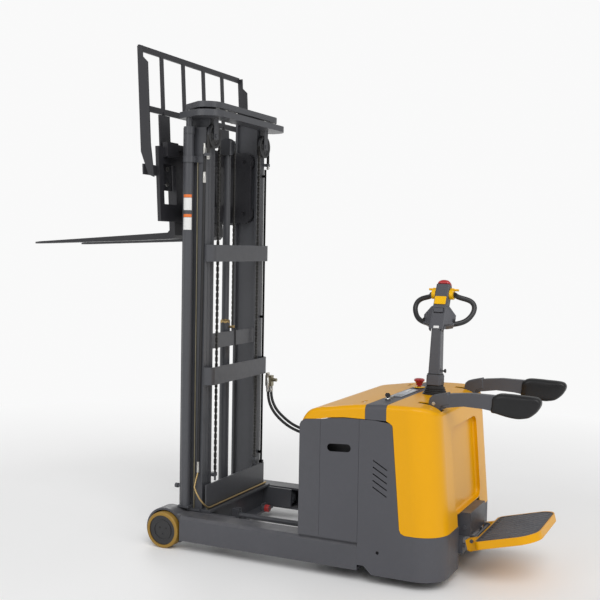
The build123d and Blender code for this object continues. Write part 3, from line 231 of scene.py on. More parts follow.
def build_materials():
    """One material for each of the record's slots, and some for small fittings."""
    bare = {"wear": 0.5, "wear_colour": (0.25, 0.25, 0.26)}
    return {
        "frame_grey": surface("frame_grey", CHARCOAL, 0.42, coat=0.1, grain=(520, 0.2), dust=0.3, **bare),
        "mast_grey": surface("mast_grey", (0.06, 0.062, 0.07), 0.42, coat=0.1, grain=(520, 0.16), **bare),
        "fork_black": surface("fork_black", (0.024, 0.024, 0.028), 0.42, grain=(300, 0.25), **bare),
        "shell_grey": surface("shell_grey", (0.068, 0.069, 0.08), 0.48, mottle=0.05, grain=(900, 0.3),
                              dust=0.12, edge=2.2),
        "cover_yellow": surface("cover_yellow", YELLOW, 0.3, coat=0.06, mottle=0.012, grain=(90, 0.02),
                                edge=2.5, shine=0.22),
        "platform_yellow": surface("platform_yellow", YELLOW, 0.36, coat=0.05, mottle=0.03, dust=0.15,
                                   shine=0.25, **bare),
        "paddle_yellow": surface("paddle_yellow", (0.84, 0.46, 0.001), 0.3, coat=0.08, mottle=0.02,
                                 edge=1.0, shine=0.25),
        "battery_grey": surface("battery_grey", (0.06, 0.06, 0.065), 0.55),
        "cast_black": surface("cast_black", (0.022, 0.022, 0.024), 0.5, grain=(240, 0.5)),
        "wheel_ochre": surface("wheel_ochre", (0.3, 0.17, 0.02), 0.45, mottle=0.1, dust=0.2, edge=1.0),
        "wheel_black": surface("wheel_black", (0.022, 0.022, 0.023), 0.65, dust=0.4),
        "hub_black": surface("hub_black", (0.016, 0.016, 0.018), 0.4, coat=0.2, dust=0.12),
        "plated_steel": surface("plated_steel", (0.3, 0.27, 0.19), 0.36, metallic=1.0, edge=0.5, mottle=0.15,
                                zone=hydraulic_zone),
        "zinc": surface("zinc", (0.6, 0.59, 0.56), 0.3, metallic=1.0, mottle=0.1, edge=0.4),
        "brass": surface("brass", (0.5, 0.36, 0.17), 0.34, metallic=1.0, edge=0.0),
        "rubber_black": surface("rubber_black", (0.014, 0.014, 0.015), 0.6, grain=(700, 0.4), edge=0.0),
        "mat_rubber": surface("mat_rubber", (0.062, 0.067, 0.082), 0.55, grain=(500, 0.5), edge=0.0,
                              dust=0.2),
        "pad_black": surface("pad_black", (0.01, 0.01, 0.011), 0.34, grain=(380, 0.4), edge=0.0, shine=0.35),
        "grip_black": surface("grip_black", (0.018, 0.018, 0.02), 0.4, grain=(600, 0.4), edge=1.0),
        "red_plastic": surface("red_plastic", (0.42, 0.012, 0.016), 0.28, coat=0.4, mottle=0.03, edge=0.8),
        "red_rubber": surface("red_rubber", (0.36, 0.02, 0.02), 0.5, mottle=0.06, edge=0.0),
        "chain_steel": surface("chain_steel", (0.075, 0.073, 0.07), 0.36, metallic=0.85, mottle=0.2,
                               edge=0.0),
        "label_white": surface("label_white", (0.74, 0.74, 0.73), 0.35, mottle=0.02, edge=0.0),
        "label_orange": surface("label_orange", (0.72, 0.17, 0.03), 0.35, mottle=0.03, edge=0.0),
        "label_grey": surface("label_grey", (0.2, 0.2, 0.21), 0.35, mottle=0.03, edge=0.0),
        "panel_pale": surface("panel_pale", (0.36, 0.39, 0.44), 0.3, coat=0.3, mottle=0.02, edge=0.5),
        "lens_dark": surface("lens_dark", (0.01, 0.012, 0.014), 0.08, coat=0.6, mottle=0.02, edge=0.0),
    }


# ------------------------------------------------------------------ mesh helpers
def piece(name, bm, body, slot, material=None, replaces=(), angle=38, space=ROW):
    """Turns a bmesh into an object of the model that rides on a body."""
    bmesh.ops.recalc_face_normals(bm, faces=bm.faces[:])
    bm.transform(space)
    mesh = bpy.data.meshes.new(name)
    bm.to_mesh(mesh)
    bm.free()
    mesh.shade_smooth()
    mesh.set_sharp_from_angle(angle=math.radians(angle))
    mesh.materials.append(MATERIALS[material or slot])
    obj = bpy.data.objects.new(name, mesh)
    scene.collection.objects.link(obj)
    if replaces:
        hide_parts(*replaces)
    if body:
        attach(obj, body)
    return obj


def skin(bm, lower, upper):
    """Joins two rings of vertices; either may be a single point."""
    count = max(len(lower), len(upper))
    for k in range(count):
        corners = []
        for v in (lower[k % len(lower)], lower[(k + 1) % len(lower)],
                  upper[(k + 1) % len(upper)], upper[k % len(upper)]):
            if v not in corners:
                corners.append(v)
        bm.faces.new(corners)


def facing(origin, axis):
    """Matrix that stands +Z on the axis at the origin."""
    return Matrix.Translation(origin) @ Vector(axis).to_track_quat("Z", "Y").to_matrix().to_4x4()


def lathe(bm, profile, origin, axis=(0, 0, 1), segments=32):
    """Turned shape from (radius, height) pairs."""
    turn = facing(origin, axis)
    rings = []
    for radius, height in profile:
        if radius == 0:
            rings.append([bm.verts.new(turn @ Vector((0, 0, height)))])
            continue
        steps = [2 * math.pi * k / segments for k in range(segments)]
        rings.append([bm.verts.new(turn @ Vector((radius * math.cos(a), radius * math.sin(a), height)))
                      for a in steps])
    for lower, upper in zip(rings, rings[1:]):
        skin(bm, lower, upper)


def hex_bolt(bm, origin, axis, across=13.0, height=8.0):
    """Washer and hexagon head."""
    lathe(bm, [(0, 0), (across * 0.85, 0), (across * 0.85, 1.6), (0, 1.6)], origin, axis, 24)
    r = across / math.sqrt(3)
    lathe(bm, [(0, 1.6), (r * 0.96, 1.6), (r, 2.2), (r, height * 0.82), (r * 0.9, height), (0, height)],
          origin, axis, 6)


def tube(bm, path, radius, segments=14):
    """Round tube along a list of points, closed at both ends. radius may be a list."""
    points = [Vector(p) for p in path]
    radii = radius if isinstance(radius, list) else [radius] * len(points)
    ahead = (points[1] - points[0]).normalized()
    side = ahead.orthogonal().normalized()
    rings = []
    for k, point in enumerate(points):
        ahead = (points[min(k + 1, len(points) - 1)] - points[max(k - 1, 0)]).normalized()
        side = (side - ahead * side.dot(ahead)).normalized()
        other = ahead.cross(side)
        ring = []
        for s in range(segments):
            a = 2 * math.pi * s / segments
            ring.append(bm.verts.new(point + radii[k] * (math.cos(a) * side + math.sin(a) * other)))
        rings.append(ring)
    for lower, upper in zip(rings, rings[1:]):
        skin(bm, lower, upper)
    skin(bm, [bm.verts.new(points[0])], rings[0])
    skin(bm, rings[-1], [bm.verts.new(points[-1])])


def slab(bm, outline, low, high, soft=1.2, turn=None):
    """Flat plate from an outline of (x, y) pairs with softened rims."""
    turn = turn or Matrix.Identity(4)
    centre = sum((Vector(p) for p in outline), Vector((0, 0))) / len(outline)
    rings = []
    for inset, height in ((soft, low), (0, low + soft), (0, high - soft), (soft, high)):
        ring = []
        for point in outline:
            offset = Vector(point) - centre
            moved = centre + offset * (1 - inset / max(offset.length, 1e-6))
            ring.append(bm.verts.new(turn @ Vector((moved.x, moved.y, height))))
        rings.append(ring)
    for lower, upper in zip(rings, rings[1:]):
        skin(bm, lower, upper)
    bm.faces.new(list(reversed(rings[0])))
    bm.faces.new(rings[-1])


def round_rect(x0, x1, y0, y1, radius, steps=6):
    """Outline of a rectangle with round corners; radius may be four numbers."""
    radii = radius if isinstance(radius, (list, tuple)) else [radius] * 4
    corners = [(x1, y1, -1, -1, 0), (x0, y1, 1, -1, 90), (x0, y0, 1, 1, 180), (x1, y0, -1, 1, 270)]
    outline = []
    for (cx, cy, sx, sy, start), r in zip(corners, radii):
        for k in range(steps + 1):
            a = math.radians(start + 90 * k / steps)
            outline.append((cx + sx * r + r * math.cos(a), cy + sy * r + r * math.sin(a)))
    return outline


# ------------------------------------------------------------------ platform mat
HINGE = Matrix.Translation((-1742, 0, 205)) @ Matrix.Rotation(math.radians(14.5), 4, "Y")


def platform_mat():
    """Rubber mat with a raised border and slanted ribs."""
    bm = bmesh.new()
    slab(bm, round_rect(-370.5, -40.5, -274.5, 274.5, (28, 104, 104, 28), 10), 6, 12, 0.8, HINGE)
    border_out = round_rect(-367, -44, -271, 271, (26, 101, 101, 26), 10)
    border_in = round_rect(-361, -50, -265, 265, (22, 96, 96, 22), 10)
    rings = []
    for outline, height in ((border_out, 11), (border_out, 14), (border_in, 14), (border_in, 11)):
        rings.append([bm.verts.new(HINGE @ Vector((x, y, height))) for x, y in outline])
    for lower, upper in zip(rings, rings[1:]):
        skin(bm, lower, upper)

    def inside(x, y):
        """Whether a rib may stand here: off the border and within the two round corners."""
        if not (-355 < x < -56 and abs(y) < 259):
            return False
        dx, dy = -265 - x, abs(y) - 169
        return not (dx > 0 and dy > 0 and math.hypot(dx, dy) > 90)

    slant, pitch, half_length = math.radians(28), 54, 330
    along = Vector((math.cos(slant), math.sin(slant)))
    for k in range(17):
        start = Vector((-205, -432 + pitch * k)) - half_length * along
        walk = [start + along * step for step in range(0, 2 * half_length + 1, 3)]
        kept = [point for point in walk if inside(*point)]
        if len(kept) > 8:
            rib(bm, kept[0], kept[-1], along)
    piece("platform_mat_ribbed", bm, "platform", "rubber_black", "mat_rubber", replaces=["platform_mat"],
          angle=50)


def rib(bm, start, end, along):
    """One round-ended rib standing on the mat."""
    across = Vector((-along.y, along.x))
    rings = []
    for half, height in ((17, 11.5), (15.5, 14.6), (13, 15.6)):
        ring = []
        for centre, ahead in ((end, along), (start, -along)):
            for k in range(9):
                a = math.radians(90 - 22.5 * k)
                sign = 1 if ahead is along else -1
                point = centre - ahead * 17 + half * (math.cos(a) * ahead + sign * math.sin(a) * across)
                ring.append(bm.verts.new(HINGE @ Vector((point.x, point.y, height))))
        rings.append(ring)
    for lower, upper in zip(rings, rings[1:]):
        skin(bm, lower, upper)
    bm.faces.new(rings[-1])


# ------------------------------------------------------------------ tiller boot
def tiller_boot():
    """Bellows that narrows from a round foot to a squarish collar."""
    bm = bmesh.new()
    segments = 48
    rings = []
    layers = [(65, 0, 906), (65, 0, 938), (70, 0, 946), (70, 0, 952)]
    for fold in range(4):
        for step in range(8):
            t = (fold + step / 8) / 4
            wave = 3.0 * math.sin(2 * math.pi * step / 8)
            layers.append((66 - 17 * t + wave, t, 954 + 40 * t))
    layers += [(47, 1, 998), (44, 1, 1000), (41, 1, 996), (41, 1, 960), (52, 0, 940), (56, 0, 906)]
    for radius, square, height in layers:
        ring = []
        for k in range(segments):
            a = 2 * math.pi * k / segments
            c, s = math.cos(a), math.sin(a)
            bulge = 1 + 0.3 * square * (1 / max(abs(c), abs(s)) - 1)
            ring.append(bm.verts.new((TILLER_X + radius * bulge * c, radius * bulge * s - 1, height)))
        rings.append(ring)
    for lower, upper in zip(rings, rings[1:] + rings[:1]):
        skin(bm, lower, upper)
    boot = piece("tiller_bellows", bm, None, "rubber_black", replaces=["tiller_boot"], angle=70)
    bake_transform(boot)


# ------------------------------------------------------------------ arm pads
PAD_OUTLINE = [(-300, 24), (-303, 60), (-308, 100), (-340, 119), (-390, 121), (-450, 119), (-505, 117),
               (-538, 111), (-552, 96), (-552, 76), (-540, 52), (-522, 30), (-494, 9), (-462, 1), (-436, -2),
               (-398, 1), (-362, 8), (-326, 17)]


def closed_spline(points, steps):
    """Smooth closed outline through the points."""
    result = []
    count = len(points)
    for k in range(count):
        p0, p1, p2, p3 = (Vector(points[(k + j - 1) % count]) for j in range(4))
        for s in range(steps):
            t = s / steps
            result.append(0.5 * (2 * p1 + (p2 - p0) * t + (2 * p0 - 5 * p1 + 4 * p2 - p3) * t * t
                                 + (3 * p1 - 3 * p2 + p3 - p0) * t ** 3))
    return result


def arm_pad(name, side):
    """Moulded foam pad with crowned cheeks and a seam round its middle."""
    bm = bmesh.new()
    outline = closed_spline(PAD_OUTLINE, 4)
    heart = sum(outline, Vector((0, 0))) / len(outline)
    rings = []
    half = 33.0
    for k in range(17):
        t = -1 + k / 8
        inset = 13 * (abs(t) ** 3.2) + (1.6 if k == 8 else 0)
        y = side * ARM_Y + half * math.copysign(abs(t) ** 0.8, t)
        ring = []
        for point in outline:
            offset = point - heart
            moved = heart + offset * (1 - inset / offset.length)
            ring.append(bm.verts.new((ARM_X + moved.x, y, ARM_Z + moved.y)))
        rings.append(ring)
    for lower, upper in zip(rings, rings[1:]):
        skin(bm, lower, upper)
    for ring, sign in ((rings[0], -1), (rings[-1], 1)):
        previous = ring
        for share, bulge in ((0.8, 2.2), (0.5, 3.4), (0.2, 3.8)):
            inner = []
            for v in ring:
                x = ARM_X + heart.x + (v.co.x - ARM_X - heart.x) * share
                z = ARM_Z + heart.y + (v.co.z - ARM_Z - heart.y) * share
                inner.append(bm.verts.new((x, v.co.y + sign * bulge, z)))
            skin(bm, previous, inner)
            previous = inner
        skin(bm, previous, [bm.verts.new((ARM_X + heart.x, ring[0].co.y + sign * 4, ARM_Z + heart.y))])
    pad = piece(f"arm_pad_{name}_foam", bm, f"arm_{name}", "grip_black", "pad_black",
                replaces=[f"arm_pad_{name}"], angle=60)


# ------------------------------------------------------------------ chains
def chain_run(bm, start, z_end, pitch, pin_axis, stack, depth):
    """Leaf chain up one straight run: laced plates on riveted pins."""
    x, y, z = start
    count = max(2, round((z_end - z) / pitch))
    pitch = (z_end - z) / count
    pin = Vector((1, 0, 0)) if pin_axis == "X" else Vector((0, 1, 0))
    flat = Vector((0, 1, 0)) if pin_axis == "X" else Vector((1, 0, 0))
    plate = stack / 5.4
    outline = []
    for centre, start_angle in ((1, 0), (0, 180)):
        for k in range(5):
            a = math.radians(start_angle + 45 * k)
            outline.append((depth / 2 * math.cos(a), centre, depth / 2 * math.sin(a)))
    for link in range(count):
        base = Vector((x, y, z + link * pitch))
        places = (-2, 0, 2) if link % 2 else (-1, 1)
        for place in places:
            rings = []
            for edge in (-0.42, 0.42):
                shift = pin * (place * plate + edge * plate)
                rings.append([bm.verts.new(base + shift + flat * u + Vector((0, 0, top * pitch + v)))
                              for u, top, v in outline])
            skin(bm, rings[0], rings[1])
            bm.faces.new(list(reversed(rings[0])))
            bm.faces.new(rings[1])
        reach = stack / 2
        lathe(bm, [(0, -reach), (depth * 0.26, -reach), (depth * 0.26, reach), (0, reach)], base, pin, 8)


def sheaves():
    """Grooved chain wheels with dished webs, bosses and a hub ring."""
    for name, side in SIDES.items():
        bm = bmesh.new()
        half = [(12.6, -10.7), (24, -10.7), (26, -9.5), (30, -5), (50, -5), (54, -9.5), (56, -11), (69, -11),
                (71, -9.5), (71, -8.5), (66, -7), (57.6, -6.5)]
        profile = half + [(r, -h) for r, h in reversed(half)] + half[:1]
        lathe(bm, profile, (SHEAVE_X, side * SHEAVE_Y, SHEAVE_Z), (1, 0, 0), 64)
        for k in range(12):
            a = math.radians(60 * (k // 2) + 15)
            face = 1 if k % 2 else -1
            spot = (SHEAVE_X + face * 4.8, side * SHEAVE_Y + 40 * math.cos(a), SHEAVE_Z + 40 * math.sin(a))
            lathe(bm, [(0, 0), (7, 0), (7, 2.4), (5.4, 3.4), (0, 3.4)], spot, (face, 0, 0), 16)
        piece(f"chain_sheave_{name}_wheel", bm, f"sheave_{name}", "cast_black",
              replaces=[f"chain_sheave_{name}"])


def chains():
    """The three pairs of chain runs."""
    bm = bmesh.new()
    for side in (1, -1):
        chain_run(bm, (SHEAVE_X, side * (SHEAVE_Y - SHEAVE_R), MAST_LUG_Z), SHEAVE_Z, 19.05, "X", 16, 11)
    run = piece("side_chains", bm, None, "chain_steel", replaces=["side_chain_runs"])
    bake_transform(run)
    bm = bmesh.new()
    for side in (1, -1):
        chain_run(bm, (SHEAVE_X, side * (SHEAVE_Y + SHEAVE_R), ANCHOR_Z), SHEAVE_Z, 5.1, "X", 16, 11)
    run = piece("anchor_chains", bm, None, "chain_steel", replaces=["fixed_chain_runs"])
    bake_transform(run)
    bm = bmesh.new()
    chain_run(bm, (FREE_LIFT_X - FREE_WHEEL_R, 0, CHAIN_FOOT_Z), FREE_WHEEL_Z, 15.9, "Y", 15, 9)
    run = piece("free_lift_chain_rear", bm, None, "chain_steel", replaces=["free_lift_chain"])
    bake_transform(run)
    bm = bmesh.new()
    chain_run(bm, (FREE_LIFT_X + FREE_WHEEL_R, 0, CHAIN_END_Z), FREE_WHEEL_Z, 15.9, "Y", 15, 9)
    run = piece("free_lift_chain_front", bm, None, "chain_steel")
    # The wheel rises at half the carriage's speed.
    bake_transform(run)


# ------------------------------------------------------------------ reach hoses
HOSE_ROUTES = [
    [(-226, -355, 862), (-226, -355, 800), (-246, -348, 738), (-286, -336, 690),
     (-344, -318, 650), (-416, -294, 618), (-498, -266, 600), (-590, -236, 592),
     (-680, -212, 592), (-772, -192, 594), (-860, -180, 596)],
    [(-248, -355, 861.5), (-249, -355, 806), (-268, -348, 752), (-306, -334, 708),
     (-362, -316, 672), (-434, -288, 640), (-516, -260, 622), (-606, -230, 614),
     (-694, -206, 612), (-780, -186, 614), (-860, -170, 618)],
]


def nurbs_line(points):
    """Points along the smooth NURBS line of a hose route, in the row frame."""
    curve = bpy.data.curves.new("route", "CURVE")
    curve.dimensions = "3D"
    curve.resolution_u = 10
    spline = curve.splines.new("NURBS")
    spline.points.add(len(points) - 1)
    for target, point in zip(spline.points, points):
        target.co = (*at(*point), 1)
    spline.order_u = 3
    spline.use_endpoint_u = True
    holder = bpy.data.objects.new("route", curve)
    mesh = bpy.data.meshes.new_from_object(holder)
    line = [v.co.copy() for v in mesh.vertices]
    bpy.data.objects.remove(holder)
    bpy.data.curves.remove(curve)
    bpy.data.meshes.remove(mesh)
    return line


def reach_hoses():
    """Hoses from the mast's manifold back to the chassis, with crimped ends."""
    for number, route in enumerate(HOSE_ROUTES, start=1):
        line = nurbs_line(route)
        bm = bmesh.new()
        tube(bm, line, 0.009)
        hose = piece(f"reach_hose_{number}_rubber", bm, None, "rubber_black",
                     replaces=[f"reach_hose_{number}"], space=Matrix.Identity(4))
        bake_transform(hose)
        for end, body, aim in ((line[0], "mast_base", line[2]), (line[-1], "chassis", line[-3])):
            bm = bmesh.new()
            profile = [(0, -0.001), (0.0085, -0.001), (0.0125, 0.002), (0.0125, 0.016), (0.0112, 0.018),
                       (0.0122, 0.02), (0.0122, 0.036), (0.011, 0.04), (0.009, 0.041)]
            lathe(bm, profile, end, aim - end, 20)
            piece(f"hose_{number}_ferrule_{body}", bm, body, "plated_steel", "zinc", space=Matrix.Identity(4))


# ------------------------------------------------------------------ tiller, controls and labels
TILLER = Matrix.Translation((TILLER_X, 0, 985)) @ Matrix.Rotation(math.radians(4.7), 4, "X")
HEAD = TILLER @ Matrix.Translation((0, 0, 330)) @ Matrix.Rotation(math.radians(21), 4, "X")
# The head's front, as a plane for flat pieces: x across, y up the head, z out of the cover.
HEAD_FACE = HEAD @ Matrix.Translation((0, 39, 0)) @ Matrix.Rotation(math.radians(90), 4, "X")
HEAD_FACE = HEAD_FACE @ Matrix.Scale(-1, 4, (0, 0, 1))


def flat_label(name, body, turn, outline, height, material, slot="shell_grey", thick=0.8, soft=0.3):
    """Thin sticker or cover plate."""
    bm = bmesh.new()
    slab(bm, outline, height, height + thick, soft, turn)
    return piece(name, bm, body, slot, material, angle=30)


def tiller_collar():
    """Collar at the column's foot with its seal."""
    bm = bmesh.new()
    slab(bm, round_rect(-40, 40, -49, 49, 14, 6), 14, 74, 4, TILLER)
    slab(bm, round_rect(-36, 36, -45, 45, 12, 6), 74, 77, 0.8, TILLER)
    piece("tiller_collar", bm, "tiller", "shell_grey")
    bm = bmesh.new()
    slab(bm, round_rect(-37.5, 37.5, -46.5, 46.5, 12, 6), 76.5, 80, 0.8, TILLER)
    piece("tiller_collar_seal", bm, "tiller", "rubber_black")


def wing_side(side):
    """Button and fairing on one side of the head's broad lower body."""
    name = "left" if side < 0 else "right"
    bm = bmesh.new()
    lathe(bm, [(0, 0), (11, 0), (11, 5), (9, 8), (0, 9)], (side * 84, 6, 52), (side, -0.35, 0), 24)
    piece(f"wing_button_{name}", bm, "tiller", "rubber_black", space=ROW @ HEAD)
    bm = bmesh.new()
    outline = [(34, -20), (39, -20), (42, 13), (82, 30), (87, 50), (87, 80), (80, 90), (47, 126),
               (34, 128)]
    heart = Vector((55, 55))
    front, flat_half, slope = 37.2, 39, 0.7
    rows = []
    for share, sink in ((1, 26), (1, 3), (0.97, 0.8), (0.9, 0)):
        ring = [heart + share * (Vector(point) - heart) for point in outline]
        rows.append([bm.verts.new((side * u, front - sink - slope * max(0, u - flat_half), w))
                     for u, w in ring])
    for lower, upper in zip(rows, rows[1:]):
        skin(bm, lower, upper)
    bm.faces.new(rows[0])
    bm.faces.new(rows[-1])
    piece(f"head_fairing_{name}", bm, "tiller", "shell_grey", space=ROW @ HEAD)


def head_details():
    """Cover plate, neck label, the wings' buttons and fairings, and the column's catch knob."""
    flat_label("head_cover_plate", "tiller", HEAD_FACE, round_rect(-33, 33, 135, 183, 4), -0.5,
               "paddle_yellow", "paddle_yellow", 4, 1.2)
    flat_label("neck_label", "tiller", HEAD_FACE, round_rect(-17, 15, -9, 5, 1.5), -2.6, "label_white")
    for side in (-1, 1):
        wing_side(side)
    bm = bmesh.new()
    lathe(bm, [(0, 0), (5, 0), (5, 8), (10, 10), (12, 14), (10, 19), (5, 21), (0, 21)], (-34, -20, 96),
          (-1, -0.2, 0.1), 24)
    piece("column_catch_knob", bm, "tiller", "grip_black", space=ROW @ TILLER)


def belly_dome():
    """Arched safety button that caps the head, on its round stem."""
    bm = bmesh.new()
    rings = []
    half_u, half_v, square, segments = 38, 32, 0.55, 48
    layers = [(0.86, 265, 0), (0.97, 265.8, 0), (1, 268, 0), (1, 274, 2), (0.96, 281, 4), (0.86, 287, 6),
              (0.66, 291.5, 7), (0.4, 294, 7), (0.15, 295, 7)]
    for share, height, arch in layers:
        ring = []
        for k in range(segments):
            a = 2 * math.pi * k / segments
            c, s = math.cos(a), math.sin(a)
            u = share * half_u * math.copysign(abs(c) ** square, c)
            v = share * half_v * math.copysign(abs(s) ** square, s)
            ring.append(bm.verts.new((u, 3 + v, height - arch * (u / half_u) ** 2)))
        rings.append(ring)
    for lower, upper in zip(rings, rings[1:]):
        skin(bm, lower, upper)
    bm.faces.new(list(reversed(rings[0])))
    bm.faces.new(rings[-1])
    lathe(bm, [(0, 244), (7.6, 244), (7.6, 265.5), (0, 265.5)], (0, 3, 0), segments=24)
    piece("belly_dome", bm, "belly", "red_plastic", replaces=["belly_button"], space=ROW @ HEAD, angle=60)


def stop_button():
    """Red mushroom on its stem, over a yellow plate."""
    foot = (STOP_X, STOP_Y, 0)
    bm = bmesh.new()
    lathe(bm, [(0, 930), (10, 930), (10, 963), (18, 964.5), (19, 976), (23, 984), (30, 989), (31.5, 994),
               (30.5, 999), (24, 1003), (12, 1005), (0, 1005.5)], foot, segments=40)
    piece("stop_button_mushroom", bm, "stop_button", "red_plastic", replaces=["estop_button"])
    bm = bmesh.new()
    lathe(bm, [(12.5, 951.5), (35, 951.5), (36, 953), (34, 956), (13, 956.5), (12.5, 951.5)], foot,
          segments=40)
    piece("stop_button_plate", bm, "chassis", "paddle_yellow")


def key_switch():
    """Key with a waisted bow, the rim of its barrel and a small plug beside it."""
    foot = (STOP_X, KEY_Y, 0)
    bm = bmesh.new()
    lathe(bm, [(0, 930), (4.8, 930), (4.8, 955), (0, 955)], foot, segments=20)
    stand = Matrix.Translation(foot) @ Matrix.Rotation(math.radians(90), 4, "X")
    bow = [(-3, 954), (3, 954), (4, 962), (13, 966), (15, 976), (9, 985)]
    slab(bm, bow + [(-x, z) for x, z in reversed(bow[2:])], -2.2, 2.2, 0.8, stand)
    piece("key_bow", bm, "key", "grip_black", replaces=["ignition_key"])
    bm = bmesh.new()
    lathe(bm, [(5.2, 953), (16, 953), (17, 955), (15, 958.5), (6, 959), (5.2, 953)], foot, segments=32)
    lathe(bm, [(0, 950), (9, 950), (9, 958), (7, 960), (0, 960)], (STOP_X, KEY_Y - 68, 0), segments=24)
    piece("key_barrel_rim", bm, "chassis", "plated_steel", "zinc")


def dash_labels():
    """Pale film on the dash panel with its display and a plain label."""
    level = Matrix.Identity(4)
    flat_label("dash_panel_film", "chassis", level, round_rect(-1335, -1271, -97, 207, 6), 951.8,
               "panel_pale")
    flat_label("dash_display", "chassis", level, round_rect(-1326, -1282, 120, 190, 4), 952.4, "lens_dark")
    flat_label("dash_label", "chassis", level, round_rect(-1324, -1284, -80, 20, 3), 952.4, "label_white")
    flat_label("dash_label_rule", "chassis", level, round_rect(-1308, -1300, -70, 10, 1), 953.0, "label_grey")


def labels_on_cylinder():
    """Two plain two-colour labels curved round the near lift cylinder."""
    inner, outer, steps = 28.4, 29.7, 16
    for number, top in enumerate((2053, 1940)):
        for part, low, high in (("band", top - 19, top - 2), ("field", top - 92, top - 21)):
            bm = bmesh.new()
            rings = []
            for radius, height in ((inner, low), (outer, low), (outer, high), (inner, high)):
                angles = [math.radians(50 + 110 * k / steps) for k in range(steps + 1)]
                rings.append([bm.verts.new((CYLINDER_X + radius * math.cos(a),
                                            CYLINDER_Y + radius * math.sin(a), height)) for a in angles])
            for lower, upper in zip(rings, rings[1:] + rings[:1]):
                for k in range(steps):
                    bm.faces.new((lower[k], lower[k + 1], upper[k + 1], upper[k]))
            for k in (0, steps):
                bm.faces.new([ring[k] for ring in rings])
            colour = "label_orange" if part == "band" else "label_white"
            piece(f"cylinder_label_{number + 1}_{part}", bm, "mast_base", "mast_grey", colour)


# ------------------------------------------------------------------ bolts, pipes and fittings
def bolt_group(name, body, places, axis, across=13.0, height=8.0, material="zinc"):
    """Hexagon bolts at a list of places, as one piece."""
    bm = bmesh.new()
    for place in places:
        hex_bolt(bm, place, axis, across, height)
    piece(name, bm, body, "frame_grey", material)


def arm_root(name, side):
    """Cranked root of a side arm, with the bolt on its pin."""
    y = side * ARM_Y
    bolt_group(f"arm_{name}_pin_bolt", f"arm_{name}", [(ARM_X, y + side * 25, 955)], (0, side, 0), 11, 6)
    bm = bmesh.new()
    upright = Matrix.Translation((0, y, 0)) @ Matrix.Rotation(math.radians(90), 4, "X")
    outline = [(-1540, 908), (-1538, 960), (-1543, 982), (-1558, 996), (-1580, 1003), (-1640, 1017),
               (-1650, 1000), (-1650, 958), (-1612, 946), (-1598, 930), (-1596, 908)]
    slab(bm, outline, -24.5, 24.5, 5, upright)
    piece(f"arm_{name}_root", bm, f"arm_{name}", "frame_grey")


def bumper(name, side):
    """Red rubber cap over the mast's rear stop."""
    bm = bmesh.new()
    lathe(bm, [(0, -40), (17.4, -40), (19, -34), (22.4, -30), (22.4, -8), (20, -1), (0, 2)],
          (-311.3, side * 240, 92), (-1, 0, 0), 28)
    piece(f"bumper_{name}_cap", bm, "mast_base", "red_plastic", "red_rubber")


def side_bolts(name, side):
    """Backrest bolts, and the stud and nuts that anchor the fixed chain run."""
    y = side * (SHEAVE_Y + SHEAVE_R)
    bolt_group(f"backrest_bolts_{name}", "fork_group", [(71, side * 392, z) for z in (2110, 2200, 2300)],
               (1, 0, 0), 17, 9)
    bolt_group(f"anchor_nuts_{name}", "mast_base", [(SHEAVE_X, y, z) for z in (2262, 2272)], (0, 0, -1),
               15, 9)
    bm = bmesh.new()
    lathe(bm, [(0, 2262), (5, 2262), (5, 2296), (0, 2296)], (SHEAVE_X, y, 0), segments=16)
    piece(f"anchor_stud_{name}", bm, "mast_base", "chain_steel")


def mast_pipes():
    """Plated pipe along the mast's foot and the riser hose with its crimped ends."""
    bm = bmesh.new()
    tube(bm, [(-214, -366, 226), (-214, -300, 226), (-214, 0, 226), (-214, 300, 226), (-214, 352, 226),
              (-212, 372, 232), (-206, 388, 246), (-196, 398, 262), (-180, 405, 284), (-160, 409, 318),
              (-142, 404, 350), (-144, 388, 392), (RISER_X, RISER_Y, 430)], 5.5)
    piece("base_pipe_plated", bm, "mast_base", "plated_steel", "brass")
    bm = bmesh.new()
    for x, z, high in ((RISER_X, 430, 64), (RISER_TOP_X, 2120, 62), (RISER_TOP_X, 2285, 62)):
        lathe(bm, [(0, 0), (9, 0), (10.5, 3), (10.5, high * 0.7), (9, high * 0.75), (9, high), (0, high)],
              (x, RISER_Y, z), segments=20)
    piece("riser_ferrules", bm, "mast_base", "plated_steel", "zinc")
    bm = bmesh.new()
    lower = [(RISER_X, 480), (-150, 900), (-158, 1500), (RISER_TOP_X, 2130)]
    upper = [(RISER_TOP_X, 2170), (-168, 2230), (RISER_TOP_X, 2290)]
    for route in (lower, upper):
        tube(bm, [(x, RISER_Y, z) for x, z in route], 8)
    piece("riser_hose", bm, "mast_base", "rubber_black")


def relief_valve():
    """Plated valve standing on the manifold."""
    bm = bmesh.new()
    lathe(bm, [(0, 0), (11, 0), (11, 60), (8, 64), (8, 74), (0, 74)], (-236, -330, 850), segments=24)
    hex_bolt(bm, (-236, -334, 930), (0, 0, 1), 17, 12)
    piece("manifold_relief_valve", bm, "mast_base", "plated_steel", "zinc")


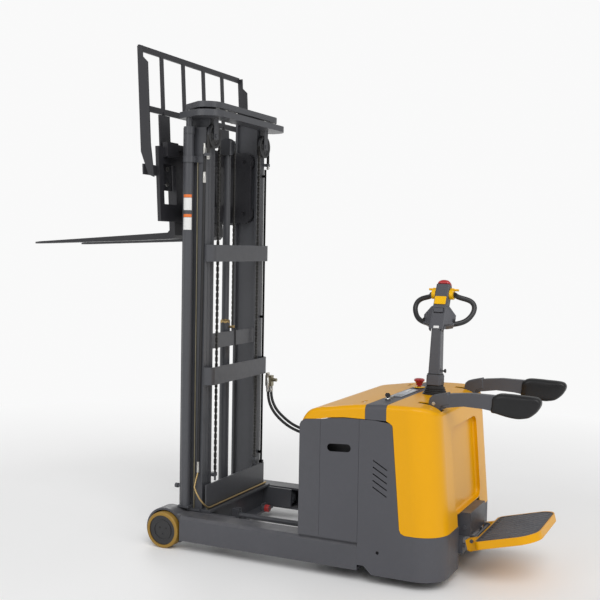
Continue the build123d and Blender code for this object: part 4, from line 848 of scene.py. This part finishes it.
def free_lift_fittings():
    """Brass gland nut and port of the free-lift barrel, and its feed hose."""
    bm = bmesh.new()
    lathe(bm, [(0, 1286), (34, 1286), (34, 1300), (27, 1304), (24, 1310), (0, 1310)], (FREE_LIFT_X, 0, 0),
          segments=6)
    lathe(bm, [(0, 0), (9, 0), (9, 18), (12, 20), (12, 34), (7, 36), (0, 36)], (FREE_LIFT_X - 30, 0, 1262),
          (-1, 0, 0), 6)
    piece("free_lift_gland", bm, "inner_stage", "mast_grey", "brass")
    bm = bmesh.new()
    tube(bm, [(-164, 0, 1266), (-169, -3, 1264), (FEED_X, -8, 1256), (FEED_X, -12, 1200), (FEED_X, -14, 700),
              (FEED_X, -20, 260)], 3.5)
    slab(bm, round_rect(-175, -162, -20, 8, 4), 1250, 1256, 1)
    piece("free_lift_feed_hose", bm, "inner_stage", "rubber_black")


def fittings():
    """Bolts, bumpers, arm roots and hydraulic fittings."""
    for name, side in SIDES.items():
        arm_root(name, side)
        bumper(name, side)
        side_bolts(name, side)
    plate_bolts = [(x, y, 2528) for x in (-262, -40) for y in (-300, -180, 180, 300)]
    bolt_group("middle_plate_bolts", "middle_stage", plate_bolts, (0, 0, 1), 19, 9)
    mast_pipes()
    relief_valve()
    free_lift_fittings()


def add_floor():
    """Wide pale floor that melts into the white surround away from the truck."""
    g = Graph("floor_pale")
    x, y, _ = g.axes()
    distance = g.calc("SQRT", g.calc("ADD", g.calc("MULTIPLY", x, x), g.calc("MULTIPLY", y, y)))
    tone = g.mix(g.noise(1.4, 3), (0.9, 0.9, 0.9), (0.92, 0.92, 0.92))
    paint = g.node("ShaderNodeBsdfPrincipled", {"Base Color": tone, "Roughness": 0.6})
    glow = g.node("ShaderNodeEmission", {"Color": (1, 1, 1, 1), "Strength": 0.95})
    fade = g.span(distance, 2.4, 5.5)
    both = g.node("ShaderNodeMixShader", {0: fade, 1: paint.outputs[0], 2: glow.outputs[0]})
    g.node("ShaderNodeOutputMaterial", {"Surface": both.outputs[0]})
    bm = bmesh.new()
    bmesh.ops.create_circle(bm, cap_ends=True, segments=96, radius=150)
    mesh = bpy.data.meshes.new("floor")
    bm.to_mesh(mesh)
    bm.free()
    mesh.materials.append(g.mat)
    floor = bpy.data.objects.new("floor", mesh)
    scene.collection.objects.link(floor)


# ------------------------------------------------------------------ build
add_camera()
add_studio()
MATERIALS = build_materials()
for part in frame["record"]["subparts"]:
    for holder in frame["nodes"][part["node"]].material_slots:
        holder.material = MATERIALS[part["material_slot"]]

platform_mat()
tiller_boot()
for side_name, side_sign in SIDES.items():
    arm_pad(side_name, side_sign)
sheaves()
chains()
reach_hoses()
tiller_collar()
head_details()
belly_dome()
stop_button()
key_switch()
dash_labels()
labels_on_cylinder()
fittings()

add_floor()

bpy.context.view_layer.update()
